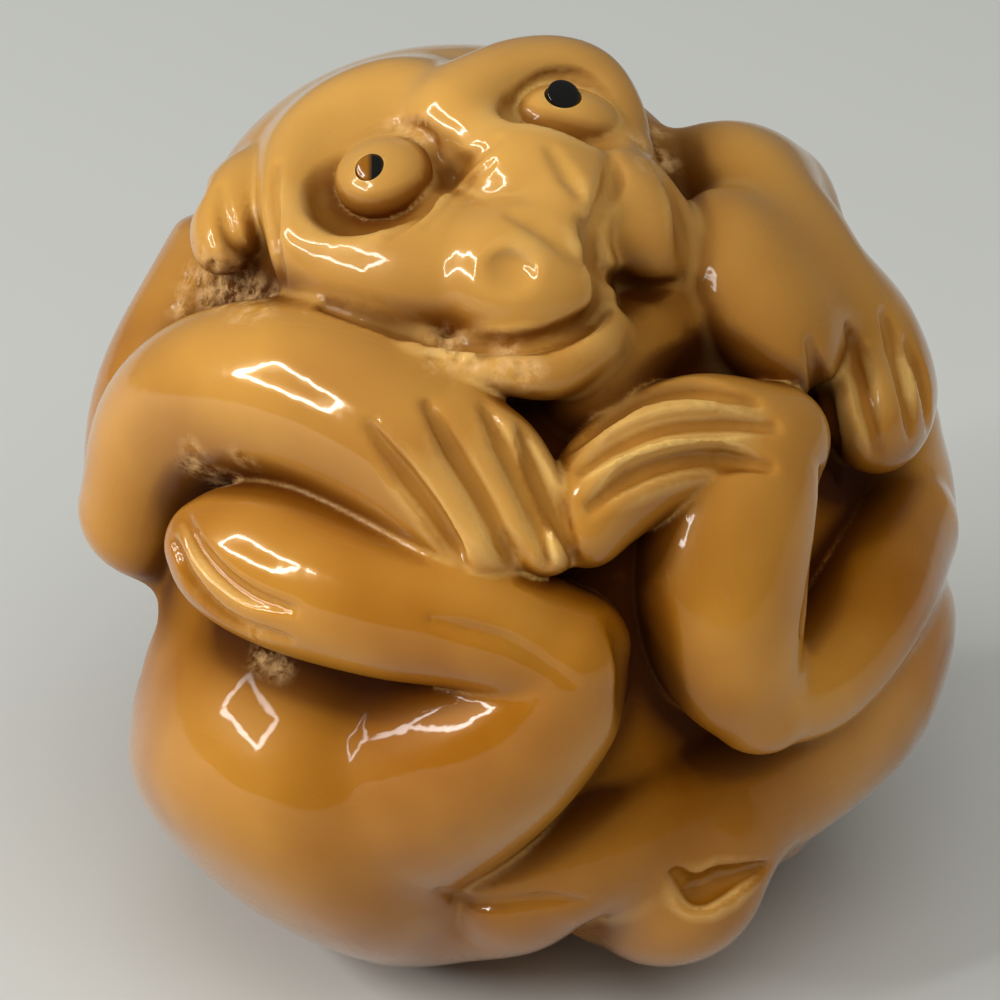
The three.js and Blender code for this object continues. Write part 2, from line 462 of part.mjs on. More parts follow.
// ---- fewer facets where the surface is flat ----
// Edges are collapsed cheapest first, by each end's summed squared distance to its faces' planes.
function simplify({ points, faces }, target) {
  const pos = points.map((p) => new THREE.Vector3(...p));
  const quadric = pos.map(() => new Float64Array(10));
  const touching = pos.map(() => new Set());
  const alive = new Uint8Array(faces.length).fill(1);
  const stamp = new Uint32Array(pos.length);
  const tri = faces.map((f) => [...f]);
  const [u, w, normal] = [vec(), vec(), vec()];
  const faceNormal = (a, b, c) => normal.crossVectors(u.subVectors(b, a), w.subVectors(c, a));
  tri.forEach(([a, b, c], f) => {
    const n = faceNormal(pos[a], pos[b], pos[c]);
    const area = n.length() / 2;
    n.normalize();
    const d = -n.dot(pos[a]);
    const plane = [n.x, n.y, n.z, d];
    for (const v of [a, b, c]) {
      touching[v].add(f);
      let m = 0;
      for (let i = 0; i < 4; i++) {
        for (let j = i; j < 4; j++) quadric[v][m++] += area * plane[i] * plane[j];
      }
    }
  });
  const cost = (q, p) => {
    const { x, y, z } = p;
    return q[0] * x * x + 2 * q[1] * x * y + 2 * q[2] * x * z + 2 * q[3] * x + q[4] * y * y
      + 2 * q[5] * y * z + 2 * q[6] * y + q[7] * z * z + 2 * q[8] * z + q[9];
  };
  const neighbours = (v) => {
    const near = new Set();
    for (const f of touching[v]) for (const m of tri[f]) if (m !== v) near.add(m);
    return near;
  };
  const best = (a, b) => {
    const q = quadric[a].map((v, i) => v + quadric[b][i]);
    const matrix = new THREE.Matrix3().set(q[0], q[1], q[2], q[1], q[4], q[5], q[2], q[5], q[7]);
    const middle = pos[a].clone().add(pos[b]).multiplyScalar(0.5);
    let choices = [middle, pos[a], pos[b]];
    if (Math.abs(matrix.determinant()) > 1e-6) {
      const p = vec(-q[3], -q[6], -q[8]).applyMatrix3(matrix.invert());
      if (p.distanceTo(middle) < 2 * pos[a].distanceTo(pos[b])) choices = [p];
    }
    const costs = choices.map((p) => cost(q, p));
    const n = costs.indexOf(Math.min(...costs));
    const tie = 1e-6 * pos[a].distanceToSquared(pos[b]);
    return { p: choices[n].clone(), value: Math.max(costs[n], 0) + tie };
  };
  // a binary heap of possible collapses
  const heap = [];
  const swap = (i, j) => { [heap[i], heap[j]] = [heap[j], heap[i]]; };
  const push = (a, b) => {
    const c = best(a, b);
    heap.push({ a, b, p: c.p, value: c.value, sa: stamp[a], sb: stamp[b] });
    for (let i = heap.length - 1; i > 0;) {
      const up = (i - 1) >> 1;
      if (heap[up].value <= heap[i].value) break;
      swap(i, up);
      i = up;
    }
  };
  const pop = () => {
    const top = heap[0];
    const end = heap.pop();
    if (heap.length > 0) {
      heap[0] = end;
      for (let i = 0; ;) {
        let low = i;
        for (const m of [2 * i + 1, 2 * i + 2]) {
          if (m < heap.length && heap[m].value < heap[low].value) low = m;
        }
        if (low === i) break;
        swap(i, low);
        i = low;
      }
    }
    return top;
  };
  for (let a = 0; a < pos.length; a++) for (const b of neighbours(a)) if (a < b) push(a, b);
  let left = tri.length;
  const turnsOver = (v, gone, p) => {
    for (const f of touching[v]) {
      if (tri[f].includes(gone)) continue;
      const [a, b, c] = tri[f].map((m) => pos[m]);
      const before = faceNormal(a, b, c).clone().normalize();
      const after = faceNormal(...tri[f].map((m) => (m === v ? p : pos[m])));
      if (after.length() < 1e-4 || before.dot(after.normalize()) < 0.3) return true;
    }
    return false;
  };
  while (left > target && heap.length > 0) {
    const { a, b, p, sa, sb } = pop();
    if (stamp[a] !== sa || stamp[b] !== sb || touching[a].size === 0 || touching[b].size === 0) continue;
    const nearB = neighbours(b);
    const shared = [...neighbours(a)].filter((v) => nearB.has(v));
    if (shared.length !== 2 || turnsOver(a, b, p) || turnsOver(b, a, p)) continue;
    for (const f of [...touching[b]]) {
      if (tri[f].includes(a)) {
        for (const m of tri[f]) touching[m].delete(f);
        alive[f] = 0;
        left--;
      } else {
        tri[f][tri[f].indexOf(b)] = a;
        touching[a].add(f);
      }
    }
    touching[b].clear();
    pos[a].copy(p);
    quadric[a] = quadric[a].map((v, i) => v + quadric[b][i]);
    stamp[a]++;
    stamp[b]++;
    for (const v of neighbours(a)) push(a, v);
  }
  const index = tri.filter((_, f) => alive[f]).flat();
  const geometry = new THREE.BufferGeometry();
  geometry.setAttribute("position", new THREE.Float32BufferAttribute(pos.flatMap((v) => v.toArray()), 3));
  geometry.setIndex(index);
  return mergeVertices(geometry.toNonIndexed(), 1e-5);
}

// ---- joins and cuts on closed meshes ----
const wasm = await Module();
wasm.setup();

function toSolid(geometry) {
  const bare = geometry.clone();
  bare.deleteAttribute("normal");
  bare.deleteAttribute("uv");
  const merged = mergeVertices(bare, 1e-5);
  return new wasm.Manifold(new wasm.Mesh({
    numProp: 3,
    vertProperties: new Float32Array(merged.attributes.position.array),
    triVerts: new Uint32Array(merged.index.array),
  }));
}

function toGeometry(solid) {
  const mesh = solid.getMesh();
  const geometry = new THREE.BufferGeometry();
  geometry.setAttribute("position", new THREE.BufferAttribute(new Float32Array(mesh.vertProperties), 3));
  geometry.setIndex([...mesh.triVerts]);
  geometry.computeVertexNormals();
  return geometry;
}

const leaned = (geometry) => geometry.rotateX(-THREE.MathUtils.degToRad(LEAN));

// A peg with a domed end, standing in the skin at p and pointing out along n.
function peg(p, n, radius, long, dome) {
  const outline = [[0, -long], [radius, -long], [radius, 0]].map(([r, y]) => new THREE.Vector2(r, y));
  const arc = 4;
  for (let i = 1; i < arc && dome > 0; i++) {
    const t = (i / arc) * Math.PI * 0.5;
    outline.push(new THREE.Vector2(radius * Math.cos(t), dome * Math.sin(t)));
  }
  outline.push(new THREE.Vector2(0, dome));
  const geometry = new THREE.LatheGeometry(outline, 20);
  const turn = new THREE.Quaternion().setFromUnitVectors(vec(0, 1, 0), n);
  return geometry.applyQuaternion(turn).translate(p.x, p.y, p.z);
}

// The channel a cord runs through: in at one hole, round under the skin and out at the other.
function cordChannel() {
  const [middle, side] = [around(180, CORD_HEIGHT), vec(1, 0, 0)];
  const out = outward(middle);
  const level = (across, deep) => middle.clone().addScaledVector(side, across).addScaledVector(out, -deep);
  const half = CORD_SPREAD / 2;
  const path = new THREE.CatmullRomCurve3([
    level(half + 0.4, -3), level(half, 0.5), level(half * 0.62, CORD_DEEP * 0.85), level(0, CORD_DEEP),
    level(-half * 0.62, CORD_DEEP * 0.85), level(-half, 0.5), level(-half - 0.4, -3),
  ]);
  const circle = new THREE.Shape().absarc(0, 0, CORD_HOLE, 0, Math.PI * 2, false);
  return new THREE.ExtrudeGeometry(circle, { steps: 22, curveSegments: 8, extrudePath: path });
}

// ---- the carving and its inlays ----
trunk();
back();
legs();
arms();
head();
gaps();
hands();
trimToNut();
tail();
faceLines();
digits();
backLines();

const eyes = [
  { name: "pupil_right", at: met(-6.5, 14.8), gaze: vec(-0.25, -0.93, 0.28), radius: PUPIL_RIGHT },
  { name: "pupil_left", at: met(2.2, 18.1), gaze: vec(0.28, -0.84, 0.46), radius: PUPIL_LEFT },
];
for (const eye of eyes) eye.gaze.normalize();

let carving = toSolid(simplify(surface(), TRIANGLES));
for (const { at: from, gaze, radius } of eyes) {
  const above = 2; // the drill starts clear of the eye
  const mouth = from.clone().addScaledVector(gaze, above);
  const socket = peg(mouth, gaze, radius + INLAY_GAP, PUPIL_LONG + INLAY_GAP + above, 0);
  carving = carving.subtract(toSolid(socket));
}
carving = carving.subtract(toSolid(cordChannel()));

const table = new THREE.BoxGeometry(60, 60, 20).translate(0, 0, -BASE - 10);
const rest = toSolid(leaned(toGeometry(carving))).subtract(toSolid(table));
const body = toGeometry(rest);
body.computeBoundingBox();
const foot = body.boundingBox.getCenter(vec());
foot.z = -BASE;

const ivory = new THREE.MeshStandardMaterial({ color: 0xc07a28, roughness: 0.3, metalness: 0 });
const horn = new THREE.MeshStandardMaterial({ color: 0x0d0a08, roughness: 0.15, metalness: 0 });

const group = new THREE.Group();
group.position.copy(foot).negate();
const monkey = new THREE.Mesh(body, ivory);
monkey.name = "monkey";
group.add(monkey);
for (const eye of eyes) {
  const inlay = peg(eye.at, eye.gaze, eye.radius, PUPIL_LONG, PUPIL_PROUD);
  const pupil = new THREE.Mesh(leaned(inlay), horn);
  pupil.name = eye.name;
  group.add(pupil);
}

export default group;
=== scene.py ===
# %% [markdown]
# A netsuke is a small toggle that holds a pouch's cord at the belt. This one is a monkey curled
# up into a ball, carved from one tagua nut, polished, and given two inlaid pupils of black horn.
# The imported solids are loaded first. They fix every size and place, and they stay as they are:
# what is made here is the finished look of the same three pieces.

# %% Load the frame
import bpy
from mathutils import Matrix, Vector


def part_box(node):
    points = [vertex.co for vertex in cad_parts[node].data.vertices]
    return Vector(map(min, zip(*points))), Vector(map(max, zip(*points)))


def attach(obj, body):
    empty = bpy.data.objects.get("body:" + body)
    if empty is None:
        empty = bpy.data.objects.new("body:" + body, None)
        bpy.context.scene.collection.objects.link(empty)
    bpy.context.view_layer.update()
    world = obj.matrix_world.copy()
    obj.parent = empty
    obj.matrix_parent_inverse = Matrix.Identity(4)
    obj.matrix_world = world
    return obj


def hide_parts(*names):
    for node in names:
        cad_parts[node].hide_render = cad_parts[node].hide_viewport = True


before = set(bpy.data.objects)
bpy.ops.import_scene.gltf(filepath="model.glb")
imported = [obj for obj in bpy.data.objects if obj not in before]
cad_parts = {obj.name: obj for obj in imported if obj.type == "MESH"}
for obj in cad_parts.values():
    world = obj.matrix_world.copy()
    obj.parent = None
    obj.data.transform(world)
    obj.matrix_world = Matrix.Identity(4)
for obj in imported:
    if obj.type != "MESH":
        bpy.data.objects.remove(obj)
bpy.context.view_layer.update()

import math
import bpy
import numpy as np
import openvdb
from mathutils import Matrix, Vector

MM = 0.001
low, high = [np.array(corner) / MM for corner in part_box("monkey")]
print("the carving's box in mm:", np.round(low, 2), np.round(high, 2))

# %% [markdown]
# A carver starts from the nut and works down from big forms to small ones. A soft, run-together
# shape like that is slow to push about vertex by vertex, so it is built here as a distance
# field: a grid of numbers that says how far each point is from the surface, negative inside.
# Forms are joined with a rounded crease, tools cut rounded hollows, and the surface where the
# numbers pass through zero becomes the mesh. The face looks along -Y while we carve, as when
# the piece is turned in the hand, and it is leaned back to rest on its base at the end.

# %% The nut and the grid
NUT = np.array([19.9, 19.0, 21.0])  # half sizes in mm
SKIN = 0.45  # how far a limb may swell past the nut
SQUARE = 2.2  # 2 would be a plain egg
VIEW = 220.0  # how far away the carving is looked at while it is laid out
LEAN = 30.0  # degrees the face tips up when the netsuke rests
CELL = 0.2  # spacing of the grid's samples in mm
FAR = 9.0  # what a sample says while nothing is near it
ROOM = 2.4  # mm of empty grid round the nut
TINY = 1e-9  # keeps a division away from nought

corner = -(NUT + ROOM)
axes = [np.arange(lowest, -lowest + CELL, CELL, dtype=np.float32) for lowest in corner]
field = np.full([len(a) for a in axes], FAR, np.float32)
print("grid:", field.shape)


def window(lowest, highest):
    """The part of the grid inside a box, and its three coordinates."""
    parts = []
    for a in range(3):
        first = max(0, int((lowest[a] - corner[a]) / CELL))
        last = min(len(axes[a]), int((highest[a] - corner[a]) / CELL) + 2)
        parts.append(slice(first, max(first, last)))
    x, y, z = [axes[a][parts[a]] for a in range(3)]
    return tuple(parts), x[:, None, None], y[None, :, None], z[None, None, :]


def smooth_min(a, b, k):
    t = np.maximum(k - np.abs(a - b), 0) / max(k, TINY)
    return np.minimum(a, b) - t * t * k / 4


def blend(parts, distance, k, cut):
    """Joins a form to the carving, or cuts it away, with a crease about k wide."""
    if cut:
        field[parts] = -smooth_min(-field[parts], distance, k)
    else:
        field[parts] = smooth_min(field[parts], distance, k)


# %% [markdown]
# Three forms are enough for the whole figure: a lump, which is an egg of three half sizes, a
# tube, which is a limb of changing thickness through a few stations, and a gouge, which is a
# thin tube that cuts along the surface. Limbs are placed by how they look from the front: the
# first two numbers of a station say where it is seen, the third is its radius and the fourth
# how far its top lies under the nut's skin.

# %% Lumps
CORE = 0.3  # share of a lump, round its middle, where the distance formula fails
CORE_DEPTH = 0.7  # of the least half size: deep enough for any point in there
LUMP_MARGIN = 2.0  # mm of grid round a lump that are worked on
TUBE_MARGIN = 1.5  # and round a tube


def unit(v):
    return np.asarray(v, float) / np.linalg.norm(v)


def outward(p):
    return unit(np.asarray(p) / NUT**2)


def lump(c, r, k, turned=None, cut=False):
    """An egg of half sizes r at c, along its own axes where it is turned."""
    own = np.eye(3) if turned is None else np.array(turned)
    r = np.array(r, float)
    reach = np.sqrt(((own * r[:, None]) ** 2).sum(0)) + max(LUMP_MARGIN, k)
    parts, x, y, z = window(np.array(c) - reach, np.array(c) + reach)
    u, v, w = [(x - c[0]) * a[0] + (y - c[1]) * a[1] + (z - c[2]) * a[2] for a in own]
    out = np.sqrt((u / r[0]) ** 2 + (v / r[1]) ** 2 + (w / r[2]) ** 2)
    slope = np.sqrt((u / r[0] ** 2) ** 2 + (v / r[1] ** 2) ** 2 + (w / r[2] ** 2) ** 2) + TINY
    blend(parts, np.where(out < CORE, -CORE_DEPTH * r.min(), out * (out - 1) / slope), k, cut)


# %% Tubes
def smooth_run(stations, steps):
    """A smooth curve through the stations, with some steps between each two."""
    p = np.array(stations, float)
    if len(p) == 2:
        return p
    q = np.vstack([2 * p[0] - p[1], p, 2 * p[-1] - p[-2]])
    run = []
    for a, b, c, d in zip(q, q[1:], q[2:], q[3:]):
        for t in np.arange(steps) / steps:
            square, cube = 2 * a - 5 * b + 4 * c - d, 3 * b - a - 3 * c + d
            run.append(b + ((c - a) * t + square * t**2 + cube * t**3) / 2)
    return np.array(run + [p[-1]])


def tube(stations, k, cut=False, steps=8):
    """A round limb of changing thickness through stations of x, y, z and radius."""
    run = smooth_run(stations, steps)
    p, r = run[:, :3], run[:, 3]
    margin = max(TUBE_MARGIN, k)
    reach = r.max() + margin
    parts, *_ = window(p.min(0) - reach, p.max(0) + reach)
    nearest = np.full(field[parts].shape, FAR, np.float32)
    for (a, ra), (b, rb) in zip(zip(p, r), zip(p[1:], r[1:])):
        near = max(ra, rb) + margin
        link, x, y, z = window(np.minimum(a, b) - near, np.maximum(a, b) + near)
        own = tuple(slice(m.start - n.start, m.stop - n.start) for m, n in zip(link, parts))
        d = b - a
        along = (x - a[0]) * d[0] + (y - a[1]) * d[1] + (z - a[2]) * d[2]
        t = np.clip(along / (d @ d + TINY), 0, 1)
        away = np.sqrt((x - a[0] - t * d[0]) ** 2 + (y - a[1] - t * d[1]) ** 2
                       + (z - a[2] - t * d[2]) ** 2) - ra - (rb - ra) * t
        nearest[own] = np.minimum(nearest[own], away)
    blend(parts, nearest, k, cut)


# %% Places on the nut
def spot(x, z, low=0.0):
    """The point, low mm under the skin, that is seen at x across and z up from the front."""
    r = NUT - low
    eye, ray = np.array([0, -VIEW, 0]) / r, np.array([x, VIEW, z]) / r
    a, b = ray @ ray, eye @ ray
    t = (-b - math.sqrt(max(b * b - a * (eye @ eye - 1), 0))) / a
    return np.array([x * t, VIEW * (t - 1), z * t])


def around(bearing, height, low=0.0):
    """The point low mm under the skin at a bearing: 0 front, 90 right, 180 back."""
    a, e = math.radians(bearing), math.radians(height)
    v = np.array([math.sin(a) * math.cos(e), -math.cos(a) * math.cos(e), math.sin(e)])
    p = v / np.linalg.norm(v / NUT)
    return p - outward(p) * low


def limb(stations, k, cut=False):
    """A tube seen from the front: across, up, radius, how far its top is under the skin."""
    tube([(*spot(x, z, low + r), r) for x, z, r, low in stations], k, cut)


def back_limb(stations, k, cut=False):
    """The same round the back: bearing, height, radius, how far its top is under the skin."""
    tube([(*around(b, h, low + r), r) for b, h, r, low in stations], k, cut)


def pad(x, z, size, low, turn, k, cut=False):
    """A flat lump lying in the skin: half width, height and thickness, and its turn."""
    c = spot(x, z, low + size[2])
    n = outward(c)
    side = unit(np.cross((0, 0, 1), n))
    rise = np.cross(n, side)
    side, rise = side * np.sign(side[0]), rise * np.sign(rise[2])
    co, si = math.cos(math.radians(turn)), math.sin(math.radians(turn))
    lump(c, size, k, [side * co + rise * si, rise * co - side * si, n], cut)


# %% Meeting the surface
CLEAR = 24.0  # mm: a ball of this radius holds the whole nut
NEAREST = 0.05  # mm off the surface, which is near enough to stop
CAUTION = 0.7  # the joined field runs a little ahead of the true distance
RUN_UP = 2.0  # mm outside the nut, where a line from behind starts


def field_at(points):
    """The field's value at any points, between the samples."""
    q = (np.atleast_2d(points) - corner) / CELL
    i = np.clip(np.floor(q).astype(int), 0, np.array(field.shape) - 2)
    f = np.clip(q - i, 0, 1)
    total = np.zeros(len(q))
    for step in np.ndindex(2, 2, 2):
        share = np.prod(np.where(step, f, 1 - f), axis=1)
        total += share * field[tuple((i + step).T)]
    return total


def march(start, along):
    """Steps along a line until the carving's surface is met."""
    travelled = 0.0
    while travelled < 2 * CLEAR:
        p = start + along * travelled
        away = field_at(p)[0]
        if away < NEAREST:
            return p + along * away
        travelled += CAUTION * away
    return None


def met(x, z):
    """Where the carving is met at x across and z up, seen from the front."""
    along = unit([x, VIEW, z])
    found = march(np.array([0, -VIEW, 0]) + along * (VIEW - CLEAR), along)
    return spot(x, z, SKIN) if found is None else found


def met_around(bearing, height):
    p = around(bearing, height)
    along = -outward(p)
    found = march(p - along * RUN_UP, along)
    return around(bearing, height, SKIN) if found is None else found


# %% Gouged lines
ENDS = 0.4  # a gouged line starts at this share of its width
GOUGE_STEPS = 4  # points from one place of a line to the next


def gouge(line, place, wide, deep, k):
    """Cuts a line of a width and a depth along the surface, thinner at its ends."""
    run = smooth_run(line, GOUGE_STEPS)
    stations = []
    for i, (a, b) in enumerate(run):
        to_end = min(i, len(run) - 1 - i) / GOUGE_STEPS
        taper = min(1.0, ENDS + (1 - ENDS) * to_end)
        p, r = place(a, b), wide / 2 * taper
        stations.append((*(p + outward(p) * (r - deep * taper)), r))
    tube(stations, k, cut=True, steps=1)


def groove(line, wide, deep, k=0.25):
    gouge(line, met, wide, deep, k)


def back_groove(line, wide, deep, k=0.25):
    gouge(line, met_around, wide, deep, k)


# %% [markdown]
# The big masses come first, as on the bench: the trunk with its shoulders and haunches, the
# spine with its bones, and the shoulder blades. Each joins the last with a soft crease.

# %% Trunk
def tell(part):
    """Prints how much is solid once a part has been carved."""
    solid = float((field < 0).sum()) * CELL**3
    print(part, "carved, solid so far in mm3:", round(solid))


lump((0, 1.6, -1.0), [16.4, 16.4, 16.6], 0)
lump((-6.6, 3.0, 6.6), [10.0, 12.0, 9.6], 2.5)  # right shoulder
lump((6.5, 5.0, 4.0), [11.0, 12.0, 11.0], 2.5)  # left shoulder, on the far side
lump((0, 3.0, -8.5), [15.0, 13.0, 11.2], 2.0)  # rump
lump((-7.4, -0.5, -11.2), [9.8, 12.0, 10.2], 1.2)  # right haunch
lump((-8.6, 5.0, -9.6), [8.6, 11.0, 8.4], 0.8)  # and its far side
tell("trunk")

# %% Back
# the spine, its bones, and the two shoulder blades
back_limb([[180, 34, 2.6, 0.9], [180, 14, 2.8, 0.7], [180, -6, 2.8, 0.7], [180, -26, 2.4, 1.0]],
    2.2)
vertebrae = [33, 25, 17, 9, 1, -7, -15, -23]
for height in vertebrae:
    lump(around(180, height, 1.6), [1.9, 1.5, 1.25], 1.2)
back_limb([[214, 28, 4.0, 0.4], [226, 10, 4.4, 0.3], [236, -4, 3.2, 0.8]], 1.6)
back_limb([[146, 28, 4.0, 0.4], [134, 12, 4.4, 0.3], [126, -2, 3.2, 0.8]], 1.6)
tell("back")

# %% [markdown]
# The limbs wrap the ball. The right leg is folded across the front with its foot at the side;
# the left thigh runs up the far side to a raised knee, and its shin comes down in front of it.

# %% Legs
# left haunch and thigh, up the far side to its knee
tube([[6.6, 8.0, -11.6, 7.6], [11.6, 5.4, -6.6, 6.8], [14.0, 1.6, -0.5, 5.6],
    [13.4, 0.4, 5.5, 4.9], [11.0, -2.5, 10.2, 3.9]], 0.6)
# left flank under the elbow
limb([[13.0, -6.6, 7.0, 0.3], [9.2, -11.0, 5.6, 0.2], [3.9, -15.0, 3.4, 0.6],
    [-0.4, -17.0, 2.4, 0.5]], 0.5)
# under side of the right haunch, then the thigh to its knee, the shin and the foot
limb([[-7.0, -16.8, 3.4, 0.2], [-3.4, -17.5, 3.2, 0.1], [0.0, -17.5, 2.9, 0.1],
    [1.8, -17.3, 1.8, 0.6]], 1.2)
limb([[-9.0, -10.6, 6.6, 0.1], [-7.4, -11.8, 6.0, 0.0], [-4.6, -12.2, 5.4, 0.0],
    [-1.4, -11.0, 4.4, 0.0], [1.3, -9.0, 3.4, 0.0], [2.3, -7.1, 2.8, 0.0]], 0.6)
limb([[2.2, -7.0, 2.8, 0.1], [-1.5, -5.5, 3.0, 0.0], [-5.6, -4.6, 3.3, 0.0],
    [-9.4, -3.3, 3.6, 0.0], [-12.0, -2.6, 3.1, 0.1], [-13.5, -2.1, 2.1, 0.4]], 0.2)
# left shin coming down to the foot
limb([[8.6, 14.3, 2.2, 1.6], [9.9, 13.2, 3.2, 0.7], [11.2, 11.2, 3.6, 0.2], [12.6, 9.0, 3.6, 0.1],
    [14.4, 6.6, 3.8, 0.0], [15.2, 5.0, 3.4, 0.2]], 0.5)
limb([[9.6, 13.8, 2.6, 0.8], [11.5, 13.2, 2.8, 0.6]], 1.8)  # its blunt knee
pad(10.9, 9.2, [3.4, 5.0, 2.6], 0.3, 14, 1.6)  # its flat inner side
pad(16.2, 4.6, [4.6, 3.2, 2.4], -0.1, 24, 0.6)  # its foot
tell("legs")

# %% [markdown]
# The right arm comes down the side and lies across the front. The left arm comes round from
# the back, turns at the elbow below and goes up to the hand that meets the other one.

# %% Arms
# right shoulder down the side to the elbow, and the forearm across to its hand
tube([[-11.4, -0.5, 9.4, 4.6], [-14.2, -0.5, 4.2, 4.6], [-16.0, -1.0, -0.4, 3.3]], 1.2)
limb([[-16.4, -0.4, 3.1, 0.3], [-14.9, 3.2, 3.7, 0.1], [-12.2, 4.7, 3.9, 0.1],
    [-8.2, 4.4, 4.1, 0.0], [-4.7, 2.7, 4.1, 0.0], [-2.6, 0.5, 3.3, 0.1], [-1.3, -1.3, 2.3, 0.2]],
    0.5)
# left shoulder round from the back, down to the elbow and up the forearm
tube([[11.6, 8.4, 6.0, 4.8], [14.6, 5.0, 3.4, 4.2], [16.3, 2.0, 0.8, 3.4],
    [16.7, 0.0, -1.4, 3.2]], 0.6)
limb([[16.7, -1.4, 3.2, 0.1], [15.6, -4.6, 3.0, 0.0], [13.5, -7.6, 2.7, 0.0],
    [11.2, -9.0, 2.2, 0.0]], 0.3)
limb([[10.8, -9.1, 2.2, 0.0], [9.6, -6.9, 3.1, -0.2], [9.2, -3.7, 3.8, -0.2],
    [9.7, -0.5, 3.7, -0.2], [10.6, 1.9, 3.0, 0.0]], 0.5)
limb([[6.0, 7.6, 2.6, 3.0], [3.4, 5.1, 2.4, 2.2]], 1.0)  # chest in the gap under the chin
tell("arms")

# %% [markdown]
# The head is one big egg with flat lumps for the cheek, muzzle, lips and nose. Brow ridges run
# round the eyes, each socket is scooped out, and an eyeball is set back into it.

# %% Head
lump((-2.5, -1.0, 10.8), [11.6, 11.0, 9.4], 1.4)
pad(-4.4, 10.3, [6.2, 3.7, 3.4], 0.4, -6, 0.9)  # right cheek
pad(2.3, 12.9, [4.7, 4.2, 3.6], 0.3, -20, 0.8)  # muzzle
pad(0.4, 9.8, [4.0, 3.6, 3.4], -0.35, -4, 0.4)  # right half of the lip
pad(5.1, 12.1, [2.5, 3.3, 2.8], 0.4, 28, 0.9)  # left half of the lip
pad(0.9, 14.2, [3.2, 2.8, 2.4], -0.4, -25, 0.6)  # nose
pad(2.3, 12.6, [2.0, 2.4, 1.8], -0.3, -30, 0.6)  # its tip
tell("head")

# %% Brows and eyes
# brows run round both sockets
limb([[-1.6, 16.2, 1.0, 0.2], [-3.0, 17.4, 1.4, 0.1], [-5.1, 17.9, 1.5, 0.0],
    [-7.4, 17.0, 1.6, 0.0], [-9.2, 15.4, 1.6, 0.1], [-9.9, 13.4, 1.5, 0.2],
    [-9.6, 11.6, 1.2, 0.4]], 1.5)
tube([[-2.4, -9.6, 16.4, 1.8], [-0.4, -8.4, 18.0, 1.8], [1.6, -7.6, 18.6, 1.7],
    [3.3, -7.4, 17.8, 1.6], [4.3, -8.0, 16.3, 1.4], [4.7, -8.8, 15.0, 1.1]], 1.4)
pad(-6.5, 13.9, [2.9, 2.6, 1.3], -0.3, -20, 0.7, True)  # sockets
pad(2.3, 16.9, [2.8, 1.7, 0.9], -0.3, -16, 0.5, True)
pad(-5.9, 14.4, [2.2, 2.05, 1.4], 0.12, -20, 0.25)  # eyeballs
pad(2.3, 17.0, [2.3, 1.6, 1.3], 0.05, -16, 0.25)
tell("eyes")

# %% Chin and ears
# lower lip and chin
limb([[-4.2, 6.5, 0.8, 1.2], [-0.8, 5.8, 1.0, 0.9], [1.7, 5.6, 1.1, 0.9], [3.5, 6.7, 1.0, 1.2],
    [4.3, 7.6, 0.8, 1.8]], 0.8)
pad(0.8, 6.4, [3.6, 1.5, 2.4], 1.0, 4, 0.5)
pad(-12.3, 12.9, [2.2, 3.7, 1.8], -0.1, 28, 0.4)  # right ear
pad(5.2, 15.6, [0.8, 1.2, 0.9], 1.2, 0, 0.3)  # what shows of the left ear
tell("chin and ears")

# %% [markdown]
# The gaps that were cut deepest are opened now, before the hands are laid over them. Then the
# whole figure is trimmed to the nut, because nothing can stand out past the block it was
# carved from. Only the tail, which runs round the haunch, is left a little proud.

# %% Gaps and hands
# between the chin and the left shin
limb([[6.9, 14.6, 0.5, 0.2], [7.8, 12.2, 0.7, 0.3], [8.3, 9.6, 0.9, 0.5], [8.5, 7.2, 0.9, 1.2]],
    0.4, True)
# between the right knee and the left forearm, and beside that forearm
limb([[4.9, -3.0, 0.6, 0.2], [5.2, -6.2, 0.8, 0.4], [5.9, -9.2, 1.2, 0.3],
    [7.4, -12.2, 1.3, -0.6]], 0.8, True)
limb([[13.4, 2.0, 0.4, 0.6], [13.3, -0.6, 0.6, 0.8], [13.2, -3.2, 0.6, 0.6],
    [12.8, -5.6, 0.4, 0.4]], 0.5, True)
limb([[11.6, 2.6, 2.4, 0.2], [8.3, 2.7, 2.7, 0.3], [5.9, 1.8, 2.6, 0.3], [4.0, 0.3, 2.4, 0.4],
    [3.2, -1.2, 1.8, 0.6]], 0.3)
limb([[-2.4, 3.4, 1.6, 0.6], [-0.6, 2.0, 1.7, 0.4], [0.6, 0.0, 1.6, 0.3], [1.4, -2.0, 1.4, 0.4]],
    0.4)
tell("gaps and hands")

# %% Trim to the nut
block = NUT + SKIN
everywhere, x, y, z = window(corner, -corner)
power = sum(np.abs(v / r) ** SQUARE for v, r in zip((x, y, z), block))
outside = (1 - power ** (1 / SQUARE)) * block[0]
blend(everywhere, outside.astype(np.float32), 0.7, cut=True)
print("cut away from the grid:", round(float((field > 0).mean()), 3))

# %% Tail
# from the foot of the spine round the left haunch to its tip, tucked under in front
back_limb([[172, -36, 2.2, -3.0], [160, -40, 2.8, -3.9], [140, -44, 2.8, -4.3],
    [120, -47, 2.8, -4.0], [104, -50, 2.3, -3.0]], 0.8, True)
back_limb([[180, -28, 1.4, 0.4], [172, -35, 1.9, -0.7], [160, -40, 2.1, -1.3],
    [140, -44, 2.1, -1.7], [118, -48, 2.1, -1.2], [96, -52, 2.0, 0.2], [70, -54, 1.8, 1.8]], 0.35)
tube([[9.2, -6.4, -15.0, 2.2], [7.9, -5.8, -17.0, 2.8], [6.4, -4.0, -17.9, 2.7],
    [4.8, -0.5, -18.0, 2.2]], 1.6)
# the hollow under the haunch
groove([[7.3, -16.9], [8.3, -17.8], [9.3, -17.4], [11.2, -16.6]], 1.6, 1.0)
tell("tail")

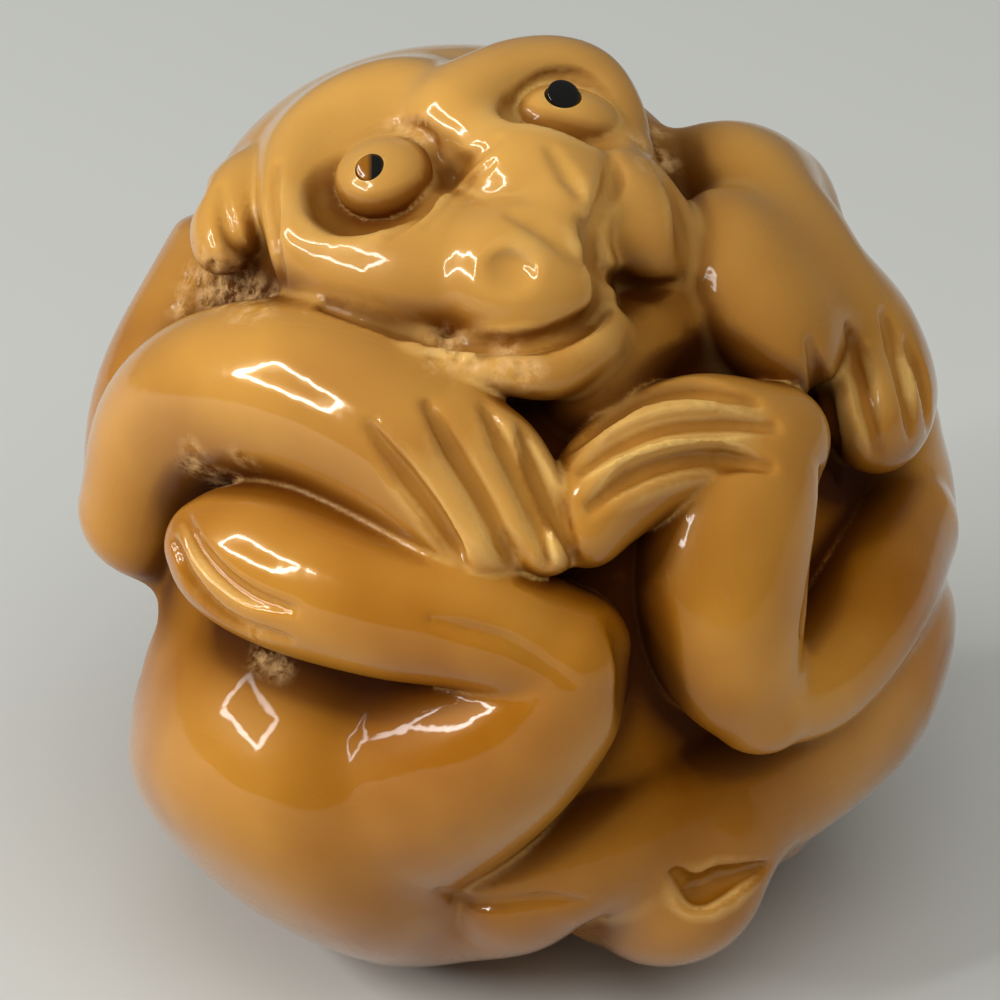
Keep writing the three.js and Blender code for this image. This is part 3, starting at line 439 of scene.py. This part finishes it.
# %% [markdown]
# Lines are cut last, with a round gouge that goes in and out of the surface, so each one is
# thinner at its ends: the mouth, the edges of the nose and the cheek fold, then fingers and
# toes, and behind the folds at the nape and over the haunches.

# %% Lines of the face
# the mouth and its far corner, the cleft between nose and left lip, the nose's lower edge, a
# crease on its bridge, the cheek fold, and the lines in front of the ear and inside it
groove([[3.0, 12.4], [3.5, 11.0], [3.9, 9.5], [3.4, 8.1], [1.9, 7.3], [-0.6, 6.9], [-4.9, 7.4],
    [-8.6, 8.6]], 1.0, 0.85, 0.4)
groove([[3.9, 10.6], [4.6, 9.9], [5.8, 9.4], [7.0, 9.6]], 0.9, 0.6, 0.3)
groove([[4.2, 15.6], [4.4, 14.3], [3.9, 12.9], [3.6, 11.6], [3.6, 10.4]], 0.9, 0.45, 0.4)
groove([[-0.2, 12.8], [0.9, 12.3], [2.0, 11.5], [3.0, 10.6]], 0.9, 0.3, 0.5)
groove([[1.6, 15.6], [2.4, 14.4], [2.9, 13.6]], 0.8, 0.3, 0.4)
groove([[-5.6, 11.9], [-4.3, 13.0], [-2.5, 14.8], [-0.9, 16.0]], 0.9, 0.4, 0.4)
groove([[-10.7, 15.0], [-10.9, 12.6], [-10.4, 9.6]], 0.9, 0.5)
groove([[-13.2, 14.0], [-13.0, 12.6], [-12.4, 11.2], [-11.6, 10.4]], 0.9, 0.35)
pad(-0.3, 10.1, [1.1, 1.0, 0.5], -0.55, 0, 0.4, True)  # shallow dimple in the lip
tell("face lines")

# %% Fingers and toes
right_fingers = [
  [[-6.6, 3.2], [-5.0, 1.1], [-3.8, -0.5], [-2.8, -2.1], [-2.3, -2.9]],
  [[-4.0, 4.2], [-2.8, 2.1], [-1.6, 0.1], [-0.6, -2.0], [-0.2, -2.9]],
  [[-1.4, 4.0], [-0.6, 2.4], [0.2, 0.7], [0.9, -0.8], [1.5, -2.8]],
  [[0.2, 3.0], [1.0, 1.2], [1.9, -0.8], [2.7, -2.9]],
]
left_fingers = [
  [[2.6, 2.3], [4.3, 3.7], [6.0, 4.6], [8.2, 4.9], [10.8, 4.3]],
  [[3.0, 1.2], [4.9, 2.6], [7.0, 3.3], [9.4, 3.4], [11.6, 3.2]],
  [[3.4, -0.4], [5.2, 1.0], [7.4, 1.7], [9.4, 1.8], [11.4, 1.4]],
]
left_toes = [
  [[13.3, 7.0], [13.8, 5.0], [14.2, 2.8], [14.5, 1.0]],
  [[15.0, 7.6], [15.6, 5.8], [16.0, 4.0], [16.3, 2.0]],
  [[16.6, 8.2], [17.2, 6.6], [17.6, 4.8], [17.8, 3.0]],
  [[17.7, 7.0], [18.2, 5.8], [18.5, 4.6], [18.6, 3.4]],
]
right_toes = [
  [[-14.8, -0.8], [-13.9, -2.7], [-12.1, -4.3], [-9.9, -5.0]],
  [[-15.2, -2.0], [-14.5, -3.8], [-12.7, -5.5], [-10.2, -6.3]],
]
for line in right_fingers:
    groove(line, 0.95, 0.65, 0.35)
for line in left_fingers:
    groove(line, 1.1, 0.8, 0.4)
for line in left_toes:
    groove(line, 1.0, 0.65, 0.4)
for line in right_toes:
    groove(line, 0.9, 0.5)
# along the right shin
groove([[-3.8, -5.5], [-2.0, -5.9], [0.0, -6.6], [2.6, -8.3]], 0.6, 0.25, 0.3)
tell("fingers and toes")

# %% Folds behind
# under the right haunch, the nape, between the buttocks, and over the right and left haunch
groove([[-3.4, -17.6], [-1.6, -18.2], [1.4, -18.0], [3.0, -18.1]], 0.6, 0.3, 0.4)
back_groove([[296, 40], [262, 44], [226, 42], [190, 40], [150, 42], [120, 48]], 1.8, 0.6, 0.9)
back_groove([[182, -42], [186, -52], [196, -66]], 2.6, 0.7, 1.2)
back_groove([[262, -4], [244, -8], [222, -13], [202, -24], [190, -36]], 1.5, 0.6, 0.8)
back_groove([[96, 28], [108, 8], [122, -12], [142, -26], [164, -34]], 1.5, 0.6, 0.8)
tell("folds behind")

# %% [markdown]
# Some marks are too small for the plain solids and live only in this finished piece: the
# creases over the eyes and beside the cheek fold, and places the carver left rough because no
# file would reach, such as under the jaw, below the ear and by the right foot. A peck is one
# small cut with the tip of a graver, and a patch is a scatter of them.

# %% Small cuts
PECK_OFF = 0.5  # share of its half size that a peck's middle stands off the surface
PECK_LONG = 1.6  # times as long from front to back as it is wide
PECK_BLEND = 0.08  # mm of crease round it
SIZES = (0.6, 1.3)  # least and largest share of a patch's own peck size
pecks = []


def peck(x, z, size):
    at = met(x, z)
    n = outward(at)
    pecks.append(at)
    lump(at + n * size * PECK_OFF, [size, size * PECK_LONG, size], PECK_BLEND, cut=True)


def patch(line, spread, count, size, seed):
    """Pecks scattered about a line through places seen from the front."""
    chance = np.random.default_rng(seed)
    run = smooth_run(line, 8)
    for _ in range(count):
        x, z = run[chance.integers(len(run))] + chance.normal(0, spread, 2)
        peck(x, z, size * chance.uniform(*SIZES))


groove([[-7.6, 16.0], [-5.8, 16.7], [-4.0, 16.4], [-3.4, 15.2]], 0.4, 0.15)  # right lid
groove([[0.2, 18.2], [1.4, 18.9], [3.0, 18.9], [4.2, 18.0]], 0.35, 0.15)  # left lid
groove([[-4.0, 12.2], [-2.4, 13.9], [-1.0, 15.0]], 0.4, 0.15, 0.3)  # beside the cheek fold
tell("small cuts")

# %% Rough patches
patch([[-3.6, 6.6], [-1.6, 6.1], [0.8, 5.9]], 0.3, 24, 0.17, seed=1)  # under the jaw
patch([[-14.2, 10.2], [-13.0, 9.0], [-11.0, 8.7]], 0.6, 34, 0.17, seed=2)  # below the ear
patch([[-14.6, 1.6], [-13.6, 0.9], [-12.4, 1.2]], 0.3, 10, 0.14, seed=3)  # over the right foot
patch([[-12.0, -6.3], [-11.0, -7.2]], 0.2, 5, 0.12, seed=4)  # under it
patch([[6.1, 16.0], [6.4, 15.0]], 0.3, 8, 0.14, seed=5)  # behind the left eye
patch([[-6.4, 16.5], [-5.0, 16.5], [-4.0, 16.2]], 0.15, 7, 0.1, seed=6)  # over the right eye
print("rough patches:", len(pecks), "pecks")

# %% [markdown]
# The grid becomes a mesh with OpenVDB, the library that Blender's own Remesh uses. It gives an
# even skin of small squares. Decimate then merges them where the surface is calm, so the
# piece keeps its fine lines and stays light.

# %% From the field to a mesh
grid = openvdb.FloatGrid(background=1.0)
grid.copyFromArray(np.clip(field, -1, 1).astype(np.float32))
points, _, squares = grid.convertToPolygons(isovalue=0.0, adaptivity=0.0)
points = points * CELL + corner

skin = bpy.data.meshes.new("monkey_carving")
skin.from_pydata(points * MM, [], squares)
carving = bpy.data.objects.new("monkey_carving", skin)
bpy.context.collection.objects.link(carving)
print("squares:", len(skin.polygons))


def choose(obj):
    """Selects one object alone and makes it active, as a click in the window would."""
    if bpy.context.object and bpy.context.object.mode != "OBJECT":
        bpy.ops.object.mode_set(mode="OBJECT")
    bpy.ops.object.select_all(action="DESELECT")
    obj.select_set(True)
    bpy.context.view_layer.objects.active = obj


def finish_with(obj, kind, **settings):
    """Adds a modifier, sets it and applies it."""
    choose(obj)
    modifier = obj.modifiers.new(kind.title(), kind)
    for name, value in settings.items():
        setattr(modifier, name, value)
    bpy.ops.object.modifier_apply(modifier=modifier.name)


TRIANGLES = 180000  # how many triangles the decimated carving keeps; under the 200,000 that one piece may have
finish_with(carving, "DECIMATE", ratio=TRIANGLES / (2 * len(skin.polygons)))
print("triangles:", sum(len(p.vertices) - 2 for p in skin.polygons))

# %% [markdown]
# Now the piece is leaned back the way it rests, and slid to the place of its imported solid: the
# two boxes share their middle, and their tops are level. After that every measure is in the
# frame's metres, and the nut's middle is known, because the camera and the eyes need it.

# %% Lean it back
lean = Matrix.Rotation(-math.radians(LEAN), 4, "X")
skin.transform(lean)
place = np.empty(len(skin.vertices) * 3)
skin.vertices.foreach_get("co", place)
place = place.reshape(-1, 3) / MM
middle = (low + high) / 2 - (place.min(0) + place.max(0)) / 2
middle[2] = high[2] - place[:, 2].max()
skin.transform(Matrix.Translation(Vector(middle) * MM))
seat = Matrix.Translation(Vector(middle) * MM) @ lean @ Matrix.Scale(MM, 4)
print("the nut's middle in mm:", np.round(middle, 2))

# %% [markdown]
# It rests on a small flat, worn by the table. Bisect cuts the ball at the floor and fills it.

# %% The worn flat
choose(carving)
bpy.ops.object.mode_set(mode="EDIT")
bpy.ops.mesh.select_all(action="SELECT")
bpy.ops.mesh.bisect(plane_co=(0, 0, 0), plane_no=(0, 0, 1), use_fill=True, clear_inner=True,
                    threshold=1e-6)
bpy.ops.object.mode_set(mode="OBJECT")
print("lowest point in mm:", round(min(v.co.z for v in skin.vertices) / MM, 3))

# %% [markdown]
# The pupils are short pegs of black horn with a domed end, set in drilled sockets. A peg is a
# cylinder whose outer cap is inset and raised in six steps, and it stands where the eye is
# met, turned the way the eye looks.

# %% Pupils
PUPIL_LONG = 2.2  # mm of peg in its socket
PUPIL_PROUD = 0.12  # how far the dome stands out
INLAY_GAP = 0.06  # room round the peg
DRILL_ABOVE = 2.0  # how far the drill starts outside the eye
PEG_SIDES = 64
# where each pupil stands, the way it looks, and its radius
eyes = {
    "pupil_right": (met(-6.5, 14.8), unit((-0.25, -0.93, 0.28)), 0.6),
    "pupil_left": (met(2.2, 18.1), unit((0.28, -0.84, 0.46)), 0.72),
}


# %% Pegs and domes
def peg(name, at, along, radius, above, below):
    """A cylinder round the line along, from below to above the point at."""
    turned = Vector(along).to_track_quat("Z", "Y").to_matrix().to_4x4()
    bpy.ops.mesh.primitive_cylinder_add(vertices=PEG_SIDES, radius=radius, depth=above + below,
                                        location=(0, 0, (above - below) / 2))
    made = bpy.context.object
    made.name = made.data.name = name
    bpy.ops.object.transform_apply(location=True, rotation=True, scale=True)
    return made, seat @ Matrix.Translation(Vector(at)) @ turned


def dome(obj, radius, proud, steps=6):
    """Insets and lifts the upper cap step by step, along a low round profile."""
    choose(obj)
    bpy.ops.object.mode_set(mode="EDIT")
    bpy.ops.mesh.select_mode(type="FACE")
    bpy.ops.mesh.select_all(action="DESELECT")
    bpy.ops.object.mode_set(mode="OBJECT")
    top = max(obj.data.polygons, key=lambda p: p.center.z)
    top.select = True
    bpy.ops.object.mode_set(mode="EDIT")
    across, risen = radius, 0.0
    for step in range(1, steps + 1):
        angle = math.pi / 2 * step / (steps + 1)
        r, h = radius * math.cos(angle), proud * math.sin(angle)
        bpy.ops.mesh.inset(thickness=across - r, depth=h - risen)
        across, risen = r, h
    bpy.ops.object.mode_set(mode="OBJECT")


# %% Drill the sockets and set the pegs
pupils = {}
for name, (at, along, radius) in eyes.items():
    pupil, stand = peg(name + "_inlay", at, along, radius, 0, PUPIL_LONG)
    dome(pupil, radius, PUPIL_PROUD)
    pupil.data.transform(stand)
    pupils[name] = pupil
    drill, stand = peg("drill", at, along, radius + INLAY_GAP, DRILL_ABOVE,
                       PUPIL_LONG + INLAY_GAP)
    drill.data.transform(stand)
    finish_with(carving, "BOOLEAN", operation="DIFFERENCE", object=drill, solver="EXACT")
    bpy.data.objects.remove(drill)

# %% [markdown]
# Behind, two holes take the pouch's cord. They are drilled slanting towards each other until
# they meet, so the channel is a bent rod that is cut out of the ball. A round curve with a
# bevel makes the rod.

# %% Cord channel
CORD_HOLE = 1.6  # radius of the two holes in mm
CORD_SPREAD = 10.5  # between their middles
CORD_DEEP = 5.0  # how far under the skin the channel runs
CORD_HEIGHT = -12.0  # degrees: a little below the middle of the back
MOUTH = 0.4  # mm that the rod leans to the side once it is out of the back
OUTSIDE = 3.0  # mm that the rod stands out of each hole
TURN = (0.62, 0.85)  # share of the half spread and of the depth where the rod turns in


def cord_rod():
    at = around(180, CORD_HEIGHT)
    out, half = outward(at), CORD_SPREAD / 2
    one_side = [(half + MOUTH, -OUTSIDE), (half, 0.5), (half * TURN[0], CORD_DEEP * TURN[1])]
    other_side = [(-across, deep) for across, deep in reversed(one_side)]
    bends = one_side + [(0, CORD_DEEP)] + other_side
    line = smooth_run([at + np.array((across, 0, 0)) - out * deep for across, deep in bends], 6)
    bpy.ops.curve.primitive_nurbs_path_add()
    rod = bpy.context.object
    rod.data.splines.clear()
    spline = rod.data.splines.new("POLY")
    spline.points.add(len(line) - 1)
    for point, p in zip(spline.points, line):
        point.co = (*(seat @ Vector(p)), 1)
    rod.data.bevel_depth = CORD_HOLE * MM
    rod.data.bevel_resolution = 8
    rod.data.use_fill_caps = True
    bpy.ops.object.convert(target="MESH")
    return bpy.context.object


rod = cord_rod()
finish_with(carving, "BOOLEAN", operation="DIFFERENCE", object=rod, solver="EXACT")
bpy.data.objects.remove(rod)
choose(carving)
bpy.ops.object.shade_smooth_by_angle(angle=math.radians(55))
print("triangles:", sum(len(p.vertices) - 2 for p in skin.polygons))

# %% [markdown]
# Hollows are darkened, as the stain and dirt that stay there and as painted shade, and handling
# wears ridges pale. The field knows both: a point pushed out from a hollow is still close to the
# surface, and a point pushed in under a thin ridge is soon out again. The answers are kept on the
# piece as a colour attribute: red for narrow hollows, green for broad ones and blue for ridges. A
# second attribute says how deep the surface lies under the nut's skin, and a third how near it is
# to the rough cuts, because no cloth has ever polished either. The depth also darkens the colour
# as painted shade.

# %% Hollows, ridges and depth
NARROW = (0.3, 0.8)  # mm out from the surface at which the field tells a narrow hollow
BROAD = (1.8, 3.6)  # and a broad one
RIDGE = 0.9  # mm in from the surface at which it tells a ridge
ROUGH = 0.9  # mm round a peck that were never polished


def shade_and_wear_of(obj):
    """Hollows and ridges as a colour, the depth under the skin, and nearness to a peck."""
    count = len(obj.data.vertices)
    p, n = np.empty(count * 3), np.empty(count * 3)
    obj.data.vertices.foreach_get("co", p)
    obj.data.vertex_normals.foreach_get("vector", n)
    back = np.array(seat.inverted())
    p = p.reshape(-1, 3) @ back[:3, :3].T + back[:3, 3]
    n = n.reshape(-1, 3) @ np.array(lean.inverted())[:3, :3].T

    def closed(reaches):
        return 1 - sum(np.clip(field_at(p + n * r) / r, 0, 1) for r in reaches) / len(reaches)

    ridge = 1 - np.clip(-field_at(p - n * RIDGE) / RIDGE, 0, 1)
    colour = np.stack([closed(NARROW), closed(BROAD), ridge, np.ones(count)], 1)
    power = ((np.abs(p) / block) ** SQUARE).sum(1)
    deep = (1 - power ** (1 / SQUARE)) * block[0]
    to_peck = np.full(count, FAR)
    for at in pecks:
        to_peck = np.minimum(to_peck, np.linalg.norm(p - at, axis=1))
    return colour, deep, np.clip(1 - to_peck / ROUGH, 0, 1)


values, deep, rough = shade_and_wear_of(carving)
# this colour attribute darkens hollows as stain and painted shade, and pales ridges as wear
shade_and_wear = skin.color_attributes.new("shade_and_wear", "FLOAT_COLOR", "POINT")
shade_and_wear.data.foreach_set("color", values.astype(np.float32).ravel())
depth = skin.attributes.new("depth", "FLOAT", "POINT")
depth.data.foreach_set("value", deep.astype(np.float32))
scuffs = skin.attributes.new("scuffs", "FLOAT", "POINT")
scuffs.data.foreach_set("value", rough.astype(np.float32))
print("hollows and ridges, mean:", values.mean(0)[:3].round(2), "deepest:", deep.max().round(1))

# %% [markdown]
# Tagua ages from cream to amber. Under a clear gloss it is golden brown, lets a little light in,
# is darkest in the hollows, partly as painted shade, and palest on the edges that fingers rub.
# One
# material does it: the three attributes say where stain, painted shade, wear and rough cuts lie;
# the height paints the top paler, as light from above and bleaching, and the bottom darker, as
# painted shade; and three sizes of noise on Object coordinates give the nut its clouds, the rough
# cuts their grain and the polish its waves.

# %% Material helpers
def srgb(r, g, b):
    """A colour as a screen shows it, 0 to 255, turned into the shader's own light."""
    return tuple(((c / 255 + 0.055) / 1.055) ** 2.4 for c in (r, g, b)) + (1.0,)


def material(name):
    made = bpy.data.materials.new(name)
    made.use_nodes = True
    tree = made.node_tree
    return made, tree, tree.nodes["Principled BSDF"]


# %% What a material can read off the piece
def noise(tree, scale, detail, roughness=0.5):
    """Noise on Object coordinates, so it stays put on the piece."""
    spots = tree.nodes.new("ShaderNodeTexNoise")
    spots.inputs["Scale"].default_value = scale
    spots.inputs["Detail"].default_value = detail
    spots.inputs["Roughness"].default_value = roughness
    where = tree.nodes.new("ShaderNodeTexCoord")
    tree.links.new(where.outputs["Object"], spots.inputs["Vector"])
    return spots.outputs["Fac"]


def attribute(tree, name, kind):
    node = tree.nodes.new("ShaderNodeAttribute")
    node.attribute_name = name
    return node.outputs[kind]


def place_along(tree, axis):
    """How far along X, Y or Z a point of the piece lies, in metres."""
    where = tree.nodes.new("ShaderNodeTexCoord")
    parts = tree.nodes.new("ShaderNodeSeparateXYZ")
    tree.links.new(where.outputs["Object"], parts.inputs["Vector"])
    return parts.outputs[axis]


# %% Shares and mixes
def ramp(tree, value, start, end):
    """Value from start to end, spread over 0 to 1."""
    node = tree.nodes.new("ShaderNodeMapRange")
    node.inputs["From Min"].default_value = start
    node.inputs["From Max"].default_value = end
    tree.links.new(value, node.inputs["Value"])
    return node.outputs["Result"]


def times(tree, a, b):
    node = tree.nodes.new("ShaderNodeMath")
    node.operation = "MULTIPLY"
    tree.links.new(a, node.inputs[0])
    if isinstance(b, float):
        node.inputs[1].default_value = b
    else:
        tree.links.new(b, node.inputs[1])
    return node.outputs[0]


def mix(tree, share, a, b):
    node = tree.nodes.new("ShaderNodeMix")
    node.data_type = "RGBA"
    tree.links.new(share, node.inputs["Factor"])
    for socket, colour in ((node.inputs[6], a), (node.inputs[7], b)):
        if isinstance(colour, tuple):
            socket.default_value = colour
        else:
            tree.links.new(colour, socket)
    return node.outputs[2]


def between(tree, share, start, end):
    """A share from 0 to 1, spread from start to end."""
    node = tree.nodes.new("ShaderNodeMapRange")
    node.inputs["To Min"].default_value = start
    node.inputs["To Max"].default_value = end
    tree.links.new(share, node.inputs["Value"])
    return node.outputs["Result"]


def larger(tree, a, b):
    node = tree.nodes.new("ShaderNodeMath")
    node.operation = "MAXIMUM"
    tree.links.new(a, node.inputs[0])
    tree.links.new(b, node.inputs[1])
    return node.outputs[0]


# %% Amber tagua: colour
# the toffee, rust and darkest browns darken hollows, depths and the bottom, partly as stain and
# partly as painted shade; the cream pales rubbed edges as wear and the top as painted light
AMBER = srgb(168, 102, 8)
GOLDEN = srgb(202, 138, 44)
TOFFEE_STAIN_AND_SHADE = srgb(124, 68, 0)
DARKEST_STAIN_AND_SHADE = srgb(58, 20, 0)
RUST_STAIN_AND_SHADE = srgb(112, 52, 4)
CREAM_WEAR_AND_LIGHT = srgb(246, 200, 116)
DUST = srgb(228, 182, 122)

tagua, tree, shader = material("amber_tagua")
split = tree.nodes.new("ShaderNodeSeparateColor")
tree.links.new(attribute(tree, "shade_and_wear", "Color"), split.inputs["Color"])
narrow, broad, ridge = split.outputs["Red"], split.outputs["Green"], split.outputs["Blue"]
depth = attribute(tree, "depth", "Fac")
scuffed = attribute(tree, "scuffs", "Fac")
sunk = ramp(tree, depth, 1.2, 4.2)  # mm under the skin
hollow = ramp(tree, broad, 0.25, 0.75)
crevice = ramp(tree, narrow, 0.3, 0.85)

cloudy = ramp(tree, noise(tree, 120, 2), 0.35, 0.65)
colour = mix(tree, cloudy, AMBER, GOLDEN)
height = place_along(tree, "Z")
# painted light and shade by height: the top is made paler, as light from above and partly as
# bleaching, and the bottom darker, as painted shade where less light reaches
light_and_bleach_above = ramp(tree, height, 23 * MM, 38 * MM)
painted_shade_below = ramp(tree, height, 17 * MM, 3 * MM)
colour = mix(tree, times(tree, light_and_bleach_above, 0.35), colour, CREAM_WEAR_AND_LIGHT)
colour = mix(tree, times(tree, painted_shade_below, 0.55), colour, TOFFEE_STAIN_AND_SHADE)
# depths, broad hollows and narrow creases are darkened, partly as real stain and partly as
# painted shade
colour = mix(tree, times(tree, sunk, 0.65), colour, TOFFEE_STAIN_AND_SHADE)
colour = mix(tree, times(tree, hollow, 0.75), colour, TOFFEE_STAIN_AND_SHADE)
colour = mix(tree, times(tree, crevice, 0.7), colour, RUST_STAIN_AND_SHADE)
# the deepest broad hollows go nearly black: painted shade together with stain
deepest = times(tree, ramp(tree, depth, 2.4, 4.8), ramp(tree, broad, 0.02, 0.5))
colour = mix(tree, times(tree, deepest, 0.95), colour, DARKEST_STAIN_AND_SHADE)
rubbed = times(tree, ramp(tree, ridge, 0.2, 0.75), between(tree, sunk, 0.8, 0.1))
colour = mix(tree, rubbed, colour, CREAM_WEAR_AND_LIGHT)
grain = ramp(tree, noise(tree, 1500, 3, 0.7), 0.4, 0.62)
colour = mix(tree, times(tree, times(tree, scuffed, grain), 0.8), colour, DUST)
tree.links.new(colour, shader.inputs["Base Color"])
print("amber tagua:", len(tree.nodes), "nodes for its colour")

# %% Amber tagua: polish
# no cloth reached the broad hollows, the depths, the rough cuts and the crevices
unreached = larger(tree, ramp(tree, broad, 0.4, 0.9), sunk)
matt = larger(tree, unreached, larger(tree, scuffed, crevice))
tree.links.new(between(tree, matt, 0.7, 0.0), shader.inputs["Coat Weight"])
tree.links.new(between(tree, matt, 0.16, 0.7), shader.inputs["Roughness"])
tree.links.new(between(tree, matt, 0.35, 0.1), shader.inputs["Specular IOR Level"])
shader.inputs["Specular Tint"].default_value = (1.0, 0.76, 0.42, 1.0)
shader.inputs["Coat Roughness"].default_value = 0.05
shader.inputs["Subsurface Weight"].default_value = 0.2
shader.inputs["Subsurface Radius"].default_value = (1.0, 0.4, 0.08)
shader.inputs["Subsurface Scale"].default_value = 1.0 * MM

wavy = tree.nodes.new("ShaderNodeBump")
wavy.inputs["Strength"].default_value = 0.4
wavy.inputs["Distance"].default_value = 0.06 * MM
tree.links.new(noise(tree, 600, 2, 0.55), wavy.inputs["Height"])
tree.links.new(wavy.outputs["Normal"], shader.inputs["Normal"])
tree.links.new(wavy.outputs["Normal"], shader.inputs["Coat Normal"])
print("amber tagua:", len(tree.nodes), "nodes with its polish")

# %% [markdown]
# The pupils are black horn. The figure's right pupil is painted amber on one side: painted light,
# for the light seen on that side of the eye.

# %% Black horn
BLACK = srgb(12, 10, 9)
# painted light: the amber side of the figure's right pupil stands for light seen on that side of
# the eye
PAINTED_LIT_SIDE = srgb(150, 92, 8)
LIT_SIDE_SHARE = 0.34  # share of the pupil's width that is amber
LIT_SIDE_EDGE = 0.12 * MM  # half the width of the change


def polished_horn(name):
    made, tree, shader = material(name)
    shader.inputs["Base Color"].default_value = BLACK
    shader.inputs["Roughness"].default_value = 0.12
    shader.inputs["Coat Weight"].default_value = 0.3
    return made, tree, shader


horn = {"pupil_left": polished_horn("black_horn")[0]}
horn["pupil_right"], tree, shader = polished_horn("horn_with_painted_light")
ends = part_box("pupil_right")
edge = (1 - LIT_SIDE_SHARE) * ends[0][0] + LIT_SIDE_SHARE * ends[1][0]
black = ramp(tree, place_along(tree, "X"), edge - LIT_SIDE_EDGE, edge + LIT_SIDE_EDGE)
tree.links.new(mix(tree, black, PAINTED_LIT_SIDE, BLACK), shader.inputs["Base Color"])
print("the right pupil turns black at x in mm:", round(edge / MM, 2))

# %% [markdown]
# Each finished piece takes its material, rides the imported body, and stands in for its solid.

# %% Dress the frame
skin.materials.clear()
skin.materials.append(tagua)
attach(carving, "root")
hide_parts("monkey")
for name, pupil in pupils.items():
    choose(pupil)
    bpy.ops.object.shade_smooth_by_angle(angle=math.radians(40))
    pupil.data.materials.append(horn[name])
    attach(pupil, "root")
    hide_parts(name)
    print(pupil.name, "across in mm:", [round(side / MM, 2) for side in pupil.dimensions])

# %% [markdown]
# A pale floor, a pale room, and daylight as from a window on the left. A polish mirrors its
# lamps, so the window is four narrow bars of light round a dark middle, and the broad skylight
# that fills the shadows isn't mirrored at all.

# %% Floor and room
bpy.ops.object.select_all(action="DESELECT")
bpy.ops.mesh.primitive_plane_add(size=3, location=(0, 0, 0))
floor = bpy.context.object
floor.name = "floor"
paper, tree, shader = material("pale_floor")
shader.inputs["Base Color"].default_value = srgb(214, 215, 210)
shader.inputs["Roughness"].default_value = 0.8
floor.data.materials.append(paper)

world = bpy.data.worlds.new("room")
world.use_nodes = True
world.node_tree.nodes["Background"].inputs["Color"].default_value = srgb(226, 229, 224)
world.node_tree.nodes["Background"].inputs["Strength"].default_value = 0.22
bpy.context.scene.world = world
print("floor across in m:", round(floor.dimensions.x, 2))

# %% Lamps
centre = Vector(middle) * MM


def panel(name, bearing, height, far, wide, tall, watts):
    """An area lamp that looks at the piece from a bearing and a height in degrees."""
    a, e = math.radians(bearing), math.radians(height)
    out = Vector((math.sin(a) * math.cos(e), -math.cos(a) * math.cos(e), math.sin(e)))
    bpy.ops.object.light_add(type="AREA", location=centre + out * far)
    lamp = bpy.context.object
    lamp.name = name
    lamp.rotation_mode = "QUATERNION"
    lamp.rotation_quaternion = out.to_track_quat("Z", "Y")
    lamp.data.shape = "RECTANGLE"
    lamp.data.size, lamp.data.size_y = wide, tall
    lamp.data.energy = watts
    return lamp


def window_frame(bearing, height, far, wide, tall, bar, watts):
    """Four bars of light round a dark middle, as a window with someone standing in it."""
    area = 2 * bar * (wide + tall - 2 * bar)
    bars = [("top", 0, tall / 2, wide, bar), ("bottom", 0, -tall / 2, wide, bar),
            ("left", -wide / 2, 0, bar, tall), ("right", wide / 2, 0, bar, tall)]
    for name, across, up, w, h in bars:
        lamp = panel("window_" + name, bearing, height, far, w, h, watts * w * h / area)
        lamp.location += lamp.rotation_quaternion @ Vector((across, up, 0))


window_frame(-74, 30, 0.5, 0.28, 0.16, 0.024, 1.8)
fill = panel("skylight", 20, 62, 0.6, 0.5, 0.5, 1.7)
fill.visible_glossy = False  # it lights the piece but isn't mirrored in the polish

# %% [markdown]
# The camera looks at the face straight on, thirty degrees above the table and 22 centimetres
# away. The lens is the one that fills the picture with the ball.

# %% Camera
FILLS = 22.4  # mm from the middle of the picture to its side, at the piece
ASIDE = Vector((-0.63, 0, -0.09)) * MM  # from the nut's middle to the picture's
back = Vector((0, -math.cos(math.radians(LEAN)), math.sin(math.radians(LEAN))))
bpy.ops.object.camera_add(location=centre + ASIDE + back * VIEW * MM)
camera = bpy.context.object
camera.rotation_mode = "QUATERNION"
camera.rotation_quaternion = (-back).to_track_quat("-Z", "Y")
camera.data.lens = camera.data.sensor_width / 2 * VIEW / FILLS
camera.data.clip_start = 0.01
bpy.context.scene.camera = camera
bpy.context.scene.view_settings.view_transform = "Standard"
print("lens:", round(camera.data.lens, 1), "mm")

# %% Update the scene
bpy.context.view_layer.update()
